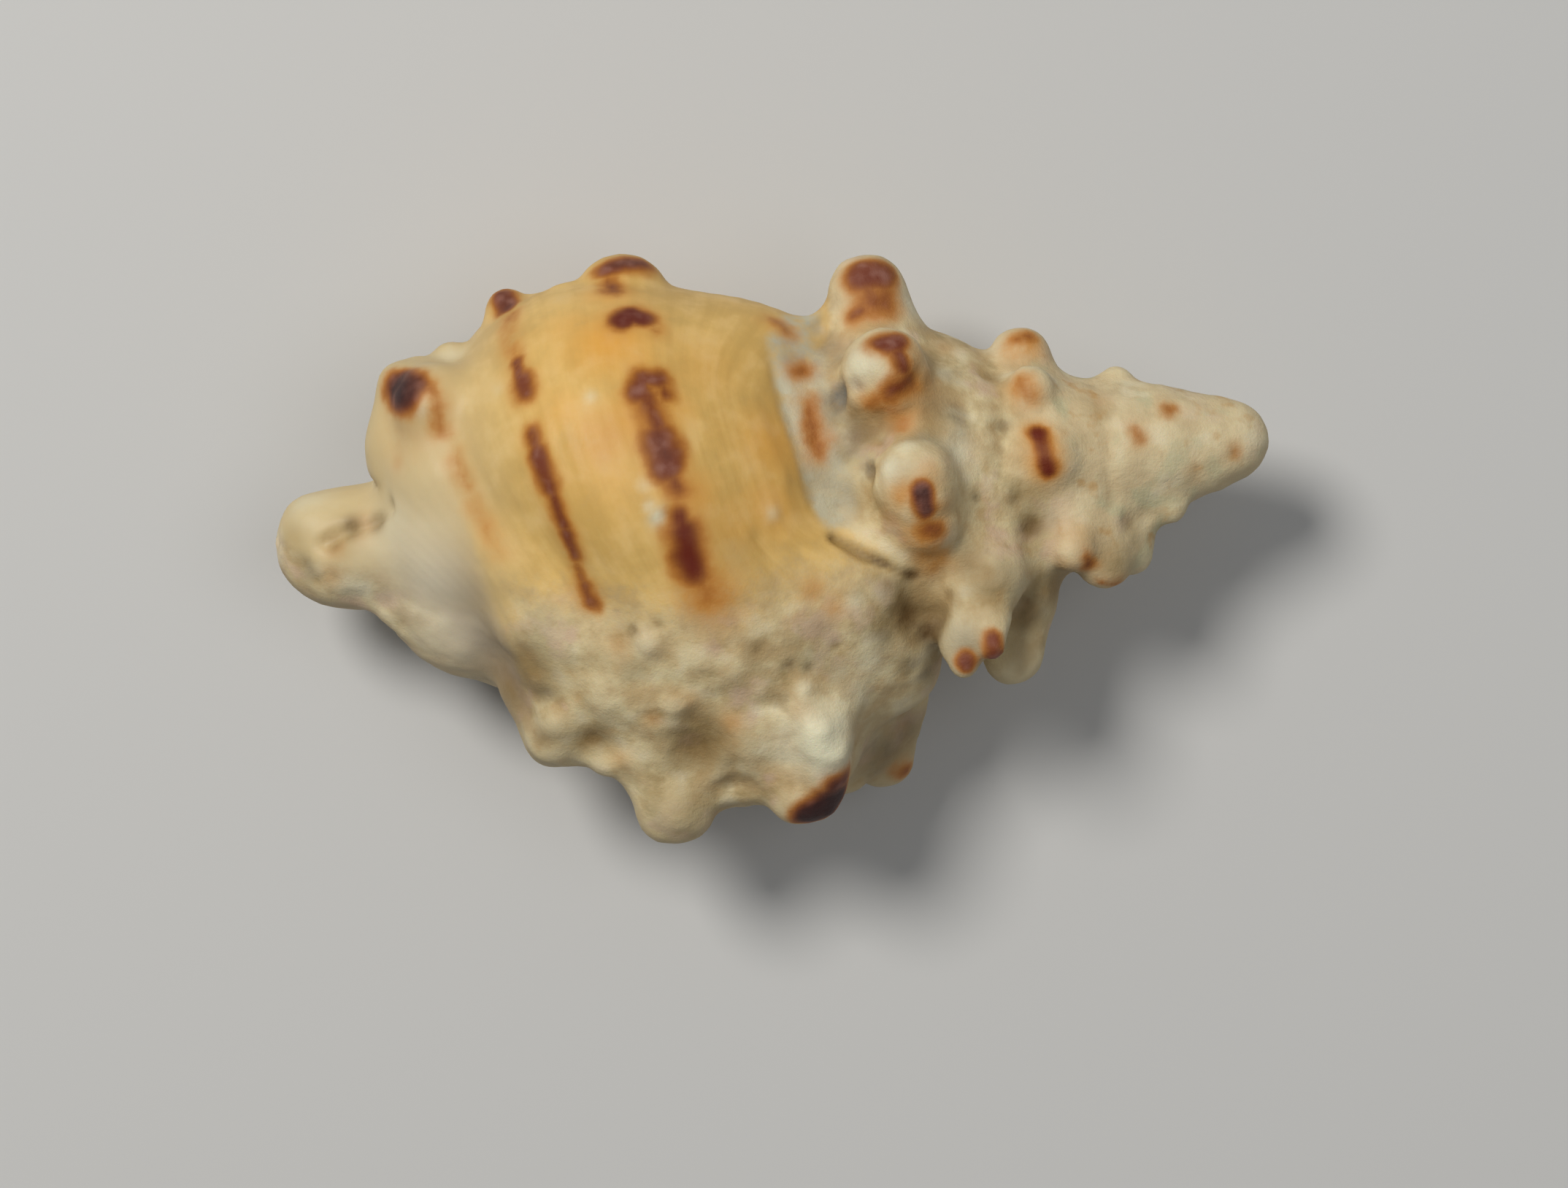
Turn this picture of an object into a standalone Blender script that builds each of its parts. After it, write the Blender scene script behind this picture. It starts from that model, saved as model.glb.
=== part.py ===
"""Frog shell lying on its aperture: one grown piece of shell, hollow from its aperture.

Run with: blender --background --python part.py

The shell coils about an axis that lies along X, with the apex towards +X and the siphonal canal towards -X.
Its back is up, its outer lip is on the +Y side, and it rests on the plane Z = 0. It is dextral.

Lengths in the lists below are in millimetres. A place on the shell is given by three numbers:
    axial   distance along the coiling axis from the apex
    radial  distance out from the coiling axis
    angle   degrees about the axis in the direction of growth: 0 is -Y, 90 is up, 180 is +Y, 270 is down
The spiral itself is measured in turns, 0 at the lip and negative towards the apex.
"""

import math

import bmesh
import bpy
from mathutils import Matrix, Vector

MILLIMETRE = 0.001

# Where the coiling axis lies in the part's frame.
APEX_X = 18.15
AXIS_Y = 1.72
AXIS_Z = 6.95

# The spiral. Everything on one whorl is GROWTH times as large as on the whorl before it.
GROWTH = 1.6
LIP_ANGLE = 228.0
APEX_TURN = -4.7
RINGS_PER_TURN = 48

# The whorl's section at turn 0, as (axial, radial) points: suture, shoulder, periphery, base, columella.
SECTION = [
    (17.0, 5.7), (19.0, 7.2), (21.3, 7.9), (23.8, 8.6), (26.2, 8.7), (28.4, 8.1), (30.2, 6.8), (31.6, 5.4),
    (32.4, 3.8), (32.6, 2.2), (32.0, 0.0), (29.0, -0.4), (25.0, -0.3), (20.5, 0.6), (17.2, 2.8),
]
SECTION_POINTS = 44

# The last whorl sags towards the canal between its two varices: its base, and by more its suture.
BASE_SAG = 1.5
BASE_SAG_TURNS = (-0.62, -0.08)
SUTURE_SAG = 3.0
SUTURE_SAG_RISE = (-0.51, -0.42)
SUTURE_SAG_FALL = (-0.30, -0.16)

# Varices are old flared lips, two to a whorl: a strong one on the left and a weak one on the right.
VARIX_COUNT = 9
VARIX_ANGLE = 6.0
VARIX_FLARES = (4.6, 1.4)
VARIX_RISE = 0.15
VARIX_FALL = 0.18
VARIX_SHARPNESS = 1.4
LIP_FLARE = 1.5
LIP_RISE = 0.07
FLARE_LEAN = 30.0

# Where on the unit section each effect comes in, from none to full: by distance out, and along the axis.
FLARE_ZONE = (3.4, 6.0)
LIP_ZONE = (4.0, 7.0)
LEAN_ZONE = (27.0, 32.0)
BASE_ZONE = (18.0, 24.0)

# The hollow of the last whorl at turn 0, inside the wall, and how far back it runs.
HOLLOW = [
    (20.0, 5.3), (22.5, 7.0), (25.5, 7.75), (28.4, 7.35), (30.6, 6.0), (31.6, 4.2), (31.2, 2.8), (28.5, 2.5),
    (24.5, 2.4), (21.2, 3.2),
]
HOLLOW_POINTS = 28
HOLLOW_TURNS = (-0.66, 0.1)
HOLLOW_TAPER = (-0.02, 0.12)

# Swellings of the shell, as rows of balls: (angle, axial, radial, radius).
LEFT_VARIX_RIM = [
    (-12.0, 15.7, 8.9, 1.9), (3.0, 18.0, 9.2, 2.3), (5.0, 20.5, 9.1, 2.4), (6.0, 23.0, 8.5, 2.3),
    (6.0, 25.7, 7.3, 2.0), (-14.0, 16.0, 9.7, 1.3), (-10.0, 16.6, 10.5, 1.2), (-4.0, 18.4, 10.3, 1.4),
    (-4.0, 20.6, 9.8, 1.35), (-4.0, 22.6, 10.3, 1.4), (0.0, 24.3, 8.6, 1.3), (18.0, 17.5, 8.6, 1.7),
    (16.0, 20.0, 8.9, 1.6), (18.0, 22.6, 8.1, 1.6), (16.0, 24.8, 7.1, 1.5), (35.0, 25.0, 5.5, 1.8),
    (24.0, 22.5, 7.6, 1.6), (24.0, 24.3, 7.1, 1.6), (36.0, 23.6, 6.6, 1.4), (20.0, 17.2, 9.4, 1.2),
    (14.0, 17.4, 10.5, 1.2), (6.0, 26.9, 8.2, 1.15),
]
LIP_RIM = [
    (205.0, 21.5, 6.5, 2.0), (205.0, 24.3, 7.0, 2.1), (205.0, 26.8, 6.4, 2.0), (198.0, 29.4, 4.7, 1.8),
    (180.0, 30.3, 4.0, 1.9), (168.0, 30.55, 4.0, 1.5), (150.0, 29.8, 4.9, 1.6), (172.0, 30.4, 5.0, 1.3),
    (172.0, 14.1, 5.2, 2.0),
]
BASE_RIM = [
    (62.0, 27.6, 3.2, 1.8), (36.0, 26.9, 4.4, 1.9), (20.0, 26.2, 5.5, 1.85), (10.0, 26.1, 6.5, 1.5),
    (42.0, 25.9, 4.3, 2.2), (62.0, 27.0, 3.3, 2.3), (128.0, 29.4, 2.4, 2.2), (142.0, 30.25, 2.3, 1.8),
    (38.0, 10.7, 5.1, 1.5),
]
SUTURE_FILL = [
    (149.0, 16.9, 4.65, 1.0), (139.0, 16.9, 3.95, 1.0), (124.0, 16.9, 3.6, 1.05), (108.0, 16.7, 3.25, 1.05),
    (90.0, 16.5, 3.2, 1.0), (59.0, 14.6, 3.7, 1.2),
]

# Knobs, as (angle, axial, radial of the tip, radius).
LIP_KNOBS = [
    (180.0, 22.8, 9.1, 1.75), (184.0, 27.0, 8.35, 0.85), (176.0, 24.8, 8.3, 0.6), (180.0, 29.2, 6.6, 0.75),
    (165.0, 30.85, 6.2, 1.1),
]
LEFT_VARIX_KNOBS = [
    (-16.0, 15.1, 11.8, 1.25), (8.0, 18.1, 12.35, 1.6), (4.0, 22.75, 12.5, 1.5), (10.0, 24.9, 9.9, 0.9),
    (0.0, 26.9, 9.3, 1.15),
]
OLDER_KNOBS = [
    (172.0, 13.95, 8.15, 1.45), (134.0, 13.7, 6.8, 1.4), (85.0, 13.1, 6.45, 1.4), (30.0, 11.6, 7.9, 1.05),
    (28.0, 12.0, 8.5, 0.55), (34.0, 10.95, 8.3, 0.55), (8.0, 10.1, 8.1, 1.15), (180.0, 8.65, 4.95, 1.15),
    (140.0, 8.5, 4.15, 0.9), (90.0, 8.2, 3.75, 1.0), (35.0, 7.6, 4.9, 0.9), (20.0, 6.5, 5.2, 1.05),
    (8.0, 5.5, 4.6, 0.9), (183.0, 5.3, 3.2, 0.7), (20.0, 3.9, 3.0, 0.7),
]
UNDERSIDE_KNOBS = [
    (-48.0, 17.6, 9.5, 1.2), (-88.0, 16.4, 7.15, 1.1), (-125.0, 14.4, 6.4, 0.9), (-90.0, 10.1, 4.7, 0.65),
    (-45.0, 10.5, 5.3, 0.7),
]

# A knob's shape for a radius of 1: its length, its foot as (share of the length, radius), and its round top,
# as degrees up the dome.
KNOB_LENGTH = 3.8
KNOB_FOOT = [(0.0, 1.7), (0.38, 1.5), (0.58, 1.25), (0.71, 1.05)]
KNOB_DOME = (20.0, 40.0, 60.0, 78.0)
KNOB_SIDES = 14

# The apex, as (share of its depth, radius).
APEX_PROFILE = [(0.0, 3.0), (0.5, 2.3), (0.75, 1.7), (0.88, 1.35), (0.95, 1.0), (0.985, 0.6), (1.0, 0.15)]
APEX_DEPTH = 7.5

# The snout round the canal, the inner lip and the throat, as balls: (axial, y, z, and three radii).
SNOUT = [
    (32.3, -0.6, -0.4, 2.4, 1.9, 2.2), (33.4, -0.5, -1.2, 3.1, 2.35, 2.4), (34.2, 0.15, -0.9, 2.1, 1.6, 1.9),
    (35.1, 0.6, -1.0, 1.05, 1.1, 1.3),
]
INNER_LIP = [
    (29.0, -1.9, -1.7, 3.8, 4.0, 4.1), (27.4, -2.3, -2.3, 4.1, 4.2, 4.8), (24.4, -2.7, -2.9, 4.4, 4.1, 4.0),
]
THROAT = (26.6, 0.0, -0.2, 6.1, 4.6, 4.8)
BALL_DETAIL = 3

# The siphonal canal, a groove from the aperture out through the snout: (axial, y, z, radius).
CANAL = [
    (28.8, 2.8, -4.0, 1.8), (30.8, 1.7, -3.9, 1.35), (32.6, 0.7, -3.6, 1.1), (34.4, 0.0, -3.2, 0.95),
    (37.5, -0.3, -2.7, 0.9),
]
CANAL_SIDES = 12

# How the solid is made: the grain that fuses its pieces, and the share of triangles that is kept.
BODY_GRAIN = 0.4
BODY_SMOOTH_PASSES = 12
GRAIN = 0.34
SMOOTH_PASSES = 3
TRIANGLES_KEPT = 0.16
FLOOR_SIZE = 60.0
FLOOR_DEPTH = 4.0

SHELL_COLOUR = (0.72, 0.56, 0.30, 1.0)
SHELL_ROUGHNESS = 0.45


def smoothstep(low, high, value):
    """0 below low, 1 above high, and smooth between them."""
    share = min(1.0, max(0.0, (value - low) / (high - low)))
    return share * share * (3.0 - 2.0 * share)


def angle_at(turn):
    return math.radians(LIP_ANGLE + 360.0 * turn)


def place(axial, radial, angle):
    """A point in the part's frame, in metres. angle is in radians."""
    return MILLIMETRE * Vector(
        (APEX_X - axial, AXIS_Y - radial * math.cos(angle), AXIS_Z + radial * math.sin(angle))
    )


def place_beside_axis(axial, y, z):
    """A point in the part's frame, in metres, from its distances beside and above the coiling axis."""
    return MILLIMETRE * Vector((APEX_X - axial, AXIS_Y + y, AXIS_Z + z))


def closed_curve(points, count):
    """count points spaced evenly along a closed Catmull-Rom curve through the given points."""
    last = len(points)
    curve = []
    for step in range(count):
        start = int(step * last / count)
        share = step * last / count - start
        before, here, there, after = (Vector(points[(start + k) % last]) for k in (-1, 0, 1, 2))
        bend = 2.0 * before - 5.0 * here + 4.0 * there - after
        twist = 3.0 * here - before - 3.0 * there + after
        curve.append(0.5 * (2.0 * here + (there - before) * share + bend * share**2 + twist * share**3))
    return curve


def flare_at(turn):
    """How far the shell flares out at a turn, at unit size: a spike for each varix."""
    flare = 0.0
    first_varix = (VARIX_ANGLE - LIP_ANGLE) / 360.0
    for half_turns in range(VARIX_COUNT):
        past_varix = turn - first_varix + 0.5 * half_turns
        width = VARIX_FALL if past_varix > 0.0 else VARIX_RISE
        if abs(past_varix) < width:
            flare += VARIX_FLARES[half_turns % 2] * (1.0 - abs(past_varix) / width) ** VARIX_SHARPNESS
    return flare


def sag_at(turn, axial):
    """How far the shell sags along its axis at a turn, for a point this far along the unit section."""
    start, end = BASE_SAG_TURNS
    share = min(1.0, max(0.0, (turn - start) / (end - start)))
    base = BASE_SAG * math.sin(math.pi * share) ** 2
    suture = SUTURE_SAG * smoothstep(*SUTURE_SAG_RISE, turn) * (1.0 - smoothstep(*SUTURE_SAG_FALL, turn))
    return suture + (base - suture) * smoothstep(*BASE_ZONE, axial)


def bridge_rings(mesh, rings):
    """Faces between neighbouring rings, and a cap on each end ring."""
    sides = len(rings[0])
    for ring, following in zip(rings, rings[1:]):
        for k in range(sides):
            after = (k + 1) % sides
            mesh.faces.new((ring[k], ring[after], following[after], following[k]))
    mesh.faces.new(reversed(rings[0]))
    mesh.faces.new(rings[-1])


def add_whorls(mesh):
    section = closed_curve(SECTION, SECTION_POINTS)
    steps = round(-APEX_TURN * RINGS_PER_TURN)
    rings = []
    for step in range(steps + 1):
        turn = APEX_TURN * (1.0 - step / steps)
        size, flare = GROWTH**turn, flare_at(turn)
        ring = []
        for axial, radial in section:
            outward = flare * smoothstep(*FLARE_ZONE, radial)
            lip = LIP_FLARE * smoothstep(-LIP_RISE, 0.0, turn) * smoothstep(*LIP_ZONE, radial)
            lean = math.radians(FLARE_LEAN) * smoothstep(*LEAN_ZONE, axial)
            ring.append(
                mesh.verts.new(
                    place(
                        size * (axial + outward * math.sin(lean)) + sag_at(turn, axial),
                        size * (radial + outward * math.cos(lean) + lip),
                        angle_at(turn),
                    )
                )
            )
        rings.append(ring)
    bridge_rings(mesh, rings)


def add_turned(mesh, base, tip, profile, sides):
    """A closed solid of revolution from base to tip. profile is (share of the length, radius in metres)."""
    along = tip - base
    across = along.orthogonal().normalized()
    sideways = along.cross(across).normalized()
    rings = []
    for share, radius in profile:
        ring = []
        for k in range(sides):
            turn = 2.0 * math.pi * k / sides
            rim = math.cos(turn) * across + math.sin(turn) * sideways
            ring.append(mesh.verts.new(base + along * share + radius * rim))
        rings.append(ring)
    bridge_rings(mesh, rings)


def add_knob(mesh, angle, axial, tip_radial, radius):
    """A round-topped peg that stands out from the axis, with a wider foot inside the wall."""
    turn = math.radians(angle)
    foot = place(axial, tip_radial - KNOB_LENGTH * radius, turn)
    profile = list(KNOB_FOOT)
    for degrees in KNOB_DOME:
        climb = math.radians(degrees)
        profile.append((1.0 - (1.0 - math.sin(climb)) / KNOB_LENGTH, math.cos(climb)))
    in_metres = [(share, width * radius * MILLIMETRE) for share, width in profile]
    add_turned(mesh, foot, place(axial, tip_radial, turn), in_metres, KNOB_SIDES)


def add_ball(mesh, axial, y, z, *radii):
    made = bmesh.ops.create_icosphere(mesh, subdivisions=BALL_DETAIL, radius=MILLIMETRE)
    shape = Matrix.Translation(place_beside_axis(axial, y, z)) @ Matrix.Diagonal((*radii, 1.0))
    bmesh.ops.transform(mesh, matrix=shape, verts=made["verts"])


def add_object(name, mesh):
    bmesh.ops.recalc_face_normals(mesh, faces=mesh.faces)
    data = bpy.data.meshes.new(name)
    mesh.to_mesh(data)
    mesh.free()
    made = bpy.data.objects.new(name, data)
    bpy.context.scene.collection.objects.link(made)
    return made


def make_cutter(name, mesh):
    cutter = add_object(name, mesh)
    cutter.hide_render = True
    cutter.display_type = "WIRE"
    return cutter


def make_hollow():
    """The space inside the last whorl, open at the aperture and closed to a point further in."""
    mesh = bmesh.new()
    section = closed_curve(HOLLOW, HOLLOW_POINTS)
    centre = sum(section, Vector((0.0, 0.0))) / HOLLOW_POINTS
    start, end = HOLLOW_TURNS
    steps = round((end - start) * RINGS_PER_TURN)
    rings = []
    for step in range(steps + 1):
        turn = start + (end - start) * step / steps
        size = GROWTH**turn
        share = math.sin(0.5 * math.pi * smoothstep(*HOLLOW_TAPER, turn - start))
        ring = []
        for point in section:
            axial, radial = centre + (point - centre) * share
            far = size * axial + sag_at(turn, axial)
            ring.append(mesh.verts.new(place(far, size * radial, angle_at(turn))))
        rings.append(ring)
    bridge_rings(mesh, rings)
    return make_cutter("hollow", mesh)


def make_canal():
    mesh = bmesh.new()
    rings = []
    for axial, y, z, radius in CANAL:
        ring = []
        for k in range(CANAL_SIDES):
            turn = 2.0 * math.pi * k / CANAL_SIDES
            rim = (y + radius * math.cos(turn), z + radius * math.sin(turn))
            ring.append(mesh.verts.new(place_beside_axis(axial, *rim)))
        rings.append(ring)
    bridge_rings(mesh, rings)
    return make_cutter("canal", mesh)


def make_floor():
    mesh = bmesh.new()
    bmesh.ops.create_cube(mesh, size=FLOOR_SIZE * MILLIMETRE)
    squash = Matrix.Diagonal((1.0, 1.0, FLOOR_DEPTH / FLOOR_SIZE, 1.0))
    sink = Matrix.Translation((0.0, 0.0, -0.5 * FLOOR_DEPTH * MILLIMETRE))
    bmesh.ops.transform(mesh, matrix=sink @ squash, verts=mesh.verts)
    return make_cutter("floor", mesh)


def shell_material():
    material = bpy.data.materials.new("worn_shell")
    material.use_nodes = True
    principled = material.node_tree.nodes["Principled BSDF"]
    principled.inputs["Base Color"].default_value = SHELL_COLOUR
    principled.inputs["Roughness"].default_value = SHELL_ROUGHNESS
    principled.inputs["Metallic"].default_value = 0.0
    return material


def add_fuse(piece, grain, passes):
    """Modifiers that turn overlapping closed pieces into one closed skin, and soften it."""
    fuse = piece.modifiers.new("fuse the pieces", "REMESH")
    fuse.mode = "VOXEL"
    fuse.voxel_size = grain * MILLIMETRE
    soften = piece.modifiers.new("soften the joins", "SMOOTH")
    soften.iterations = passes


def smooth_body():
    """The whorls, the canal's snout and the inner lip, without the knobs, fused and well smoothed."""
    mesh = bmesh.new()
    add_whorls(mesh)
    for ball in [THROAT] + SNOUT + INNER_LIP:
        add_ball(mesh, *ball)
    for angle, axial, radial, radius in LEFT_VARIX_RIM + LIP_RIM + BASE_RIM + SUTURE_FILL:
        turn = math.radians(angle)
        add_ball(mesh, axial, -radial * math.cos(turn), radial * math.sin(turn), radius, radius, radius)
    body = add_object("body", mesh)
    add_fuse(body, BODY_GRAIN, BODY_SMOOTH_PASSES)
    smooth = bpy.data.meshes.new_from_object(body.evaluated_get(bpy.context.evaluated_depsgraph_get()))
    bpy.data.objects.remove(body)
    return smooth


def make_shell():
    mesh = bmesh.new()
    mesh.from_mesh(smooth_body())
    for knob in LIP_KNOBS + LEFT_VARIX_KNOBS + OLDER_KNOBS + UNDERSIDE_KNOBS:
        add_knob(mesh, *knob)
    apex_profile = [(share, radius * MILLIMETRE) for share, radius in APEX_PROFILE]
    add_turned(mesh, place(APEX_DEPTH, 0.0, 0.0), place(0.0, 0.0, 0.0), apex_profile, KNOB_SIDES)
    shell = add_object("shell", mesh)
    shell.data.materials.append(shell_material())
    add_fuse(shell, GRAIN, SMOOTH_PASSES)
    thin = shell.modifiers.new("thin out the triangles", "DECIMATE")
    thin.ratio = TRIANGLES_KEPT
    for cutter in (make_hollow(), make_canal(), make_floor()):
        cut = shell.modifiers.new("cut the " + cutter.name, "BOOLEAN")
        cut.operation = "DIFFERENCE"
        cut.solver = "EXACT"
        cut.object = cutter


def main():
    for old in list(bpy.data.objects):
        bpy.data.objects.remove(old)
    make_shell()


main()
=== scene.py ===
"""Frog shell, worn by the sea, lying on its mouth on a pale table.

The shell is one grown piece. It is built here in millimetres along its coiling axis, in the order it
takes shape: the whorls, the swellings and knobs on them, the mouth, the worn surface, and last the
colours.

A place on the shell is given by its distance along the coiling axis from the apex (axial), its distance
out from that axis (radial), and its angle about the axis in the direction of growth: 0 is the left side
(-Y), 90 is up, 180 is the lip's side (+Y) and 270 is down. A spot on the back is given by its distance
along the axis and its distance beside it, towards the lip (side). Turns count growth from the lip,
negative towards the apex.
"""

import math

import bmesh
import bpy
import numpy as np
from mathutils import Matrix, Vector, noise
from mathutils.bvhtree import BVHTree


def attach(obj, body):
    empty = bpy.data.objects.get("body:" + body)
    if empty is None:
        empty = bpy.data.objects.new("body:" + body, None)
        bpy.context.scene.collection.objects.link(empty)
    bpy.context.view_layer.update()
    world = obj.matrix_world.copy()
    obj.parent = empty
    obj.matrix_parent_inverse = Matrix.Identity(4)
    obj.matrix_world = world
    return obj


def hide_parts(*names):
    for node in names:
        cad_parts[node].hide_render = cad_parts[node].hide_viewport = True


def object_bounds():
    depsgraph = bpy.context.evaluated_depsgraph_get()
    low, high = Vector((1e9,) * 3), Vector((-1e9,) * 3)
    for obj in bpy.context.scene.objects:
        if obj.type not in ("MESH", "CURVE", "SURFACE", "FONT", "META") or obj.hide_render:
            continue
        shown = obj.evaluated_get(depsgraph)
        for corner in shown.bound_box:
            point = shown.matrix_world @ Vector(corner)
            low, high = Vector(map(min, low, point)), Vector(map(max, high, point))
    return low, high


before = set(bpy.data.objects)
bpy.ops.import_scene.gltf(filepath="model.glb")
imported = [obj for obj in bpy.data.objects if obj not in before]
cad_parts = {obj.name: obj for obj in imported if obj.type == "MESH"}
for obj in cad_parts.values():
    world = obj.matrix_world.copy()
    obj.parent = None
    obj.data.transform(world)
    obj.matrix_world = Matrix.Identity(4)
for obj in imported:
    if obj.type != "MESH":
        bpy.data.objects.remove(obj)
cad_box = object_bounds()

# --------------------------------------------------------------- the whorls
# The real shell is a tube of lime that the animal lengthens at its lip. The tube winds round an axis and
# grows by the same share in every turn, so one section, repeated along that rule, makes all the whorls.
# Twice in a turn the lip once stood still and flared, and the old flares stay as ridges, the varices.

APEX = Vector((18.15, 1.72, 6.95))
GROWTH = 1.6
LIP_ANGLE = 228.0
APEX_TURN = -4.7
FIRST_VARIX = (6.0 - LIP_ANGLE) / 360.0
SECTION_MIDDLE = (25.0, 4.2)

# the last whorl's base and its suture hang a little towards the snout, over these turns
BASE_SAG = 1.5
BASE_SAG_TURNS = (-0.62, -0.08)
SUTURE_SAG = 3.0
SUTURE_SAG_BEGINS = (-0.51, -0.42)
SUTURE_SAG_ENDS = (-0.30, -0.16)
SUTURE_TO_BASE = (18.0, 24.0)

shell_finish = bpy.data.materials.new("worn_shell")


class Term:
    """A value in a node tree. Sums written with it become Math nodes."""

    def __init__(self, tree, socket):
        self.tree, self.socket = tree, socket

    def act(self, operation, *others):
        node = self.tree.nodes.new("ShaderNodeMath")
        node.operation = operation
        for slot, value in zip(node.inputs, (self, *others)):
            join(self.tree, value, slot)
        return Term(self.tree, node.outputs[0])

    def __add__(self, other):
        return self.act("ADD", other)

    def __sub__(self, other):
        return self.act("SUBTRACT", other)

    def __mul__(self, other):
        return self.act("MULTIPLY", other)

    def __truediv__(self, other):
        return self.act("DIVIDE", other)

    def __pow__(self, other):
        return self.act("POWER", other)

    __radd__, __rmul__ = __add__, __mul__

    def __rsub__(self, other):
        return self.act("MULTIPLY", -1.0) + other

    def __rpow__(self, other):
        return (self * math.log(other)).act("EXPONENT")

    def step(self, low, high):
        """0 below low, 1 above high, and smooth between them."""
        node = self.tree.nodes.new("ShaderNodeMapRange")
        node.interpolation_type = "SMOOTHSTEP"
        for slot, value in zip(node.inputs, (self, low, high)):
            join(self.tree, value, slot)
        return Term(self.tree, node.outputs[0])


def join(tree, value, slot):
    """Feeds an input with a Term, an output socket or a plain value."""
    if isinstance(value, Term):
        value = value.socket
    if isinstance(value, bpy.types.NodeSocket):
        tree.links.new(value, slot)
    else:
        slot.default_value = value


def node(tree, kind, inputs=None, **settings):
    """Adds a node with these settings and inputs, and returns it."""
    made = tree.nodes.new(kind)
    for name, value in settings.items():
        setattr(made, name, value)
    for name, value in (inputs or {}).items():
        join(tree, value, made.inputs[name])
    return made


def parts(tree, vector):
    """The three parts of a vector or a colour, as Terms."""
    return [Term(tree, part) for part in node(tree, "ShaderNodeSeparateXYZ", {0: vector}).outputs]


def vector(tree, x, y, z):
    """A vector of three parts."""
    return node(tree, "ShaderNodeCombineXYZ", {0: x, 1: y, 2: z}).outputs[0]


def new_tree(name, **inputs):
    """A Geometry Nodes tree, and its inputs as Terms: the geometry, and these named ones of a kind each."""
    tree = bpy.data.node_groups.new(name, "GeometryNodeTree")
    tree.interface.new_socket("Geometry", in_out="INPUT", socket_type="NodeSocketGeometry")
    tree.interface.new_socket("Geometry", in_out="OUTPUT", socket_type="NodeSocketGeometry")
    for label, kind in inputs.items():
        tree.interface.new_socket(label, in_out="INPUT", socket_type="NodeSocket" + kind)
    given = tree.nodes.new("NodeGroupInput")
    terms = {label: Term(tree, given.outputs[label]) for label in ("Geometry", *inputs)}
    return tree, terms


def end_tree(tree, geometry):
    """Realizes the tree's geometry and gives it the shell's finish."""
    real = node(tree, "GeometryNodeRealizeInstances", {"Geometry": geometry})
    finish = node(tree, "GeometryNodeSetMaterial", {"Geometry": real.outputs[0], "Material": shell_finish})
    join(tree, finish.outputs[0], tree.nodes.new("NodeGroupOutput").inputs[0])


def added(name, data):
    """A new object of the scene, made of some mesh, curve, light or camera."""
    made = bpy.data.objects.new(name, data)
    bpy.context.scene.collection.objects.link(made)
    return made


def settled(holder, *tools):
    """An object's plain mesh, with its modifiers worked in. The object and its tools are removed."""
    worked_out = holder.evaluated_get(bpy.context.evaluated_depsgraph_get())
    made = bpy.data.meshes.new_from_object(worked_out)
    for used in (holder, *tools):
        bpy.data.objects.remove(used)
    return made


def grow(name, tree, mesh=None, **values):
    """Runs a tree on a mesh with the values for its named inputs, and returns the mesh that it makes."""
    holder = added(name, mesh or bpy.data.meshes.new(name))
    modifier = holder.modifiers.new(name, "NODES")
    modifier.node_group = tree
    for item in tree.interface.items_tree:
        if item.in_out == "INPUT" and item.name in values:
            modifier[item.identifier] = values[item.name]
    return settled(holder)


def smooth_curve(name, spots, closed=False):
    """A smooth curve object through some spots."""
    data = bpy.data.curves.new(name, "CURVE")
    data.dimensions = "3D"
    spline = data.splines.new("BEZIER")
    spline.bezier_points.add(len(spots) - 1)
    for knot, spot in zip(spline.bezier_points, spots):
        knot.co = spot
        knot.handle_left_type = knot.handle_right_type = "AUTO"
    spline.use_cyclic_u = closed
    return added(name, data)


def section_curve(name, outline):
    """A closed curve through the (axial, radial) points of an outline."""
    return smooth_curve(name, [(*point, 0.0) for point in outline], closed=True)


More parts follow.
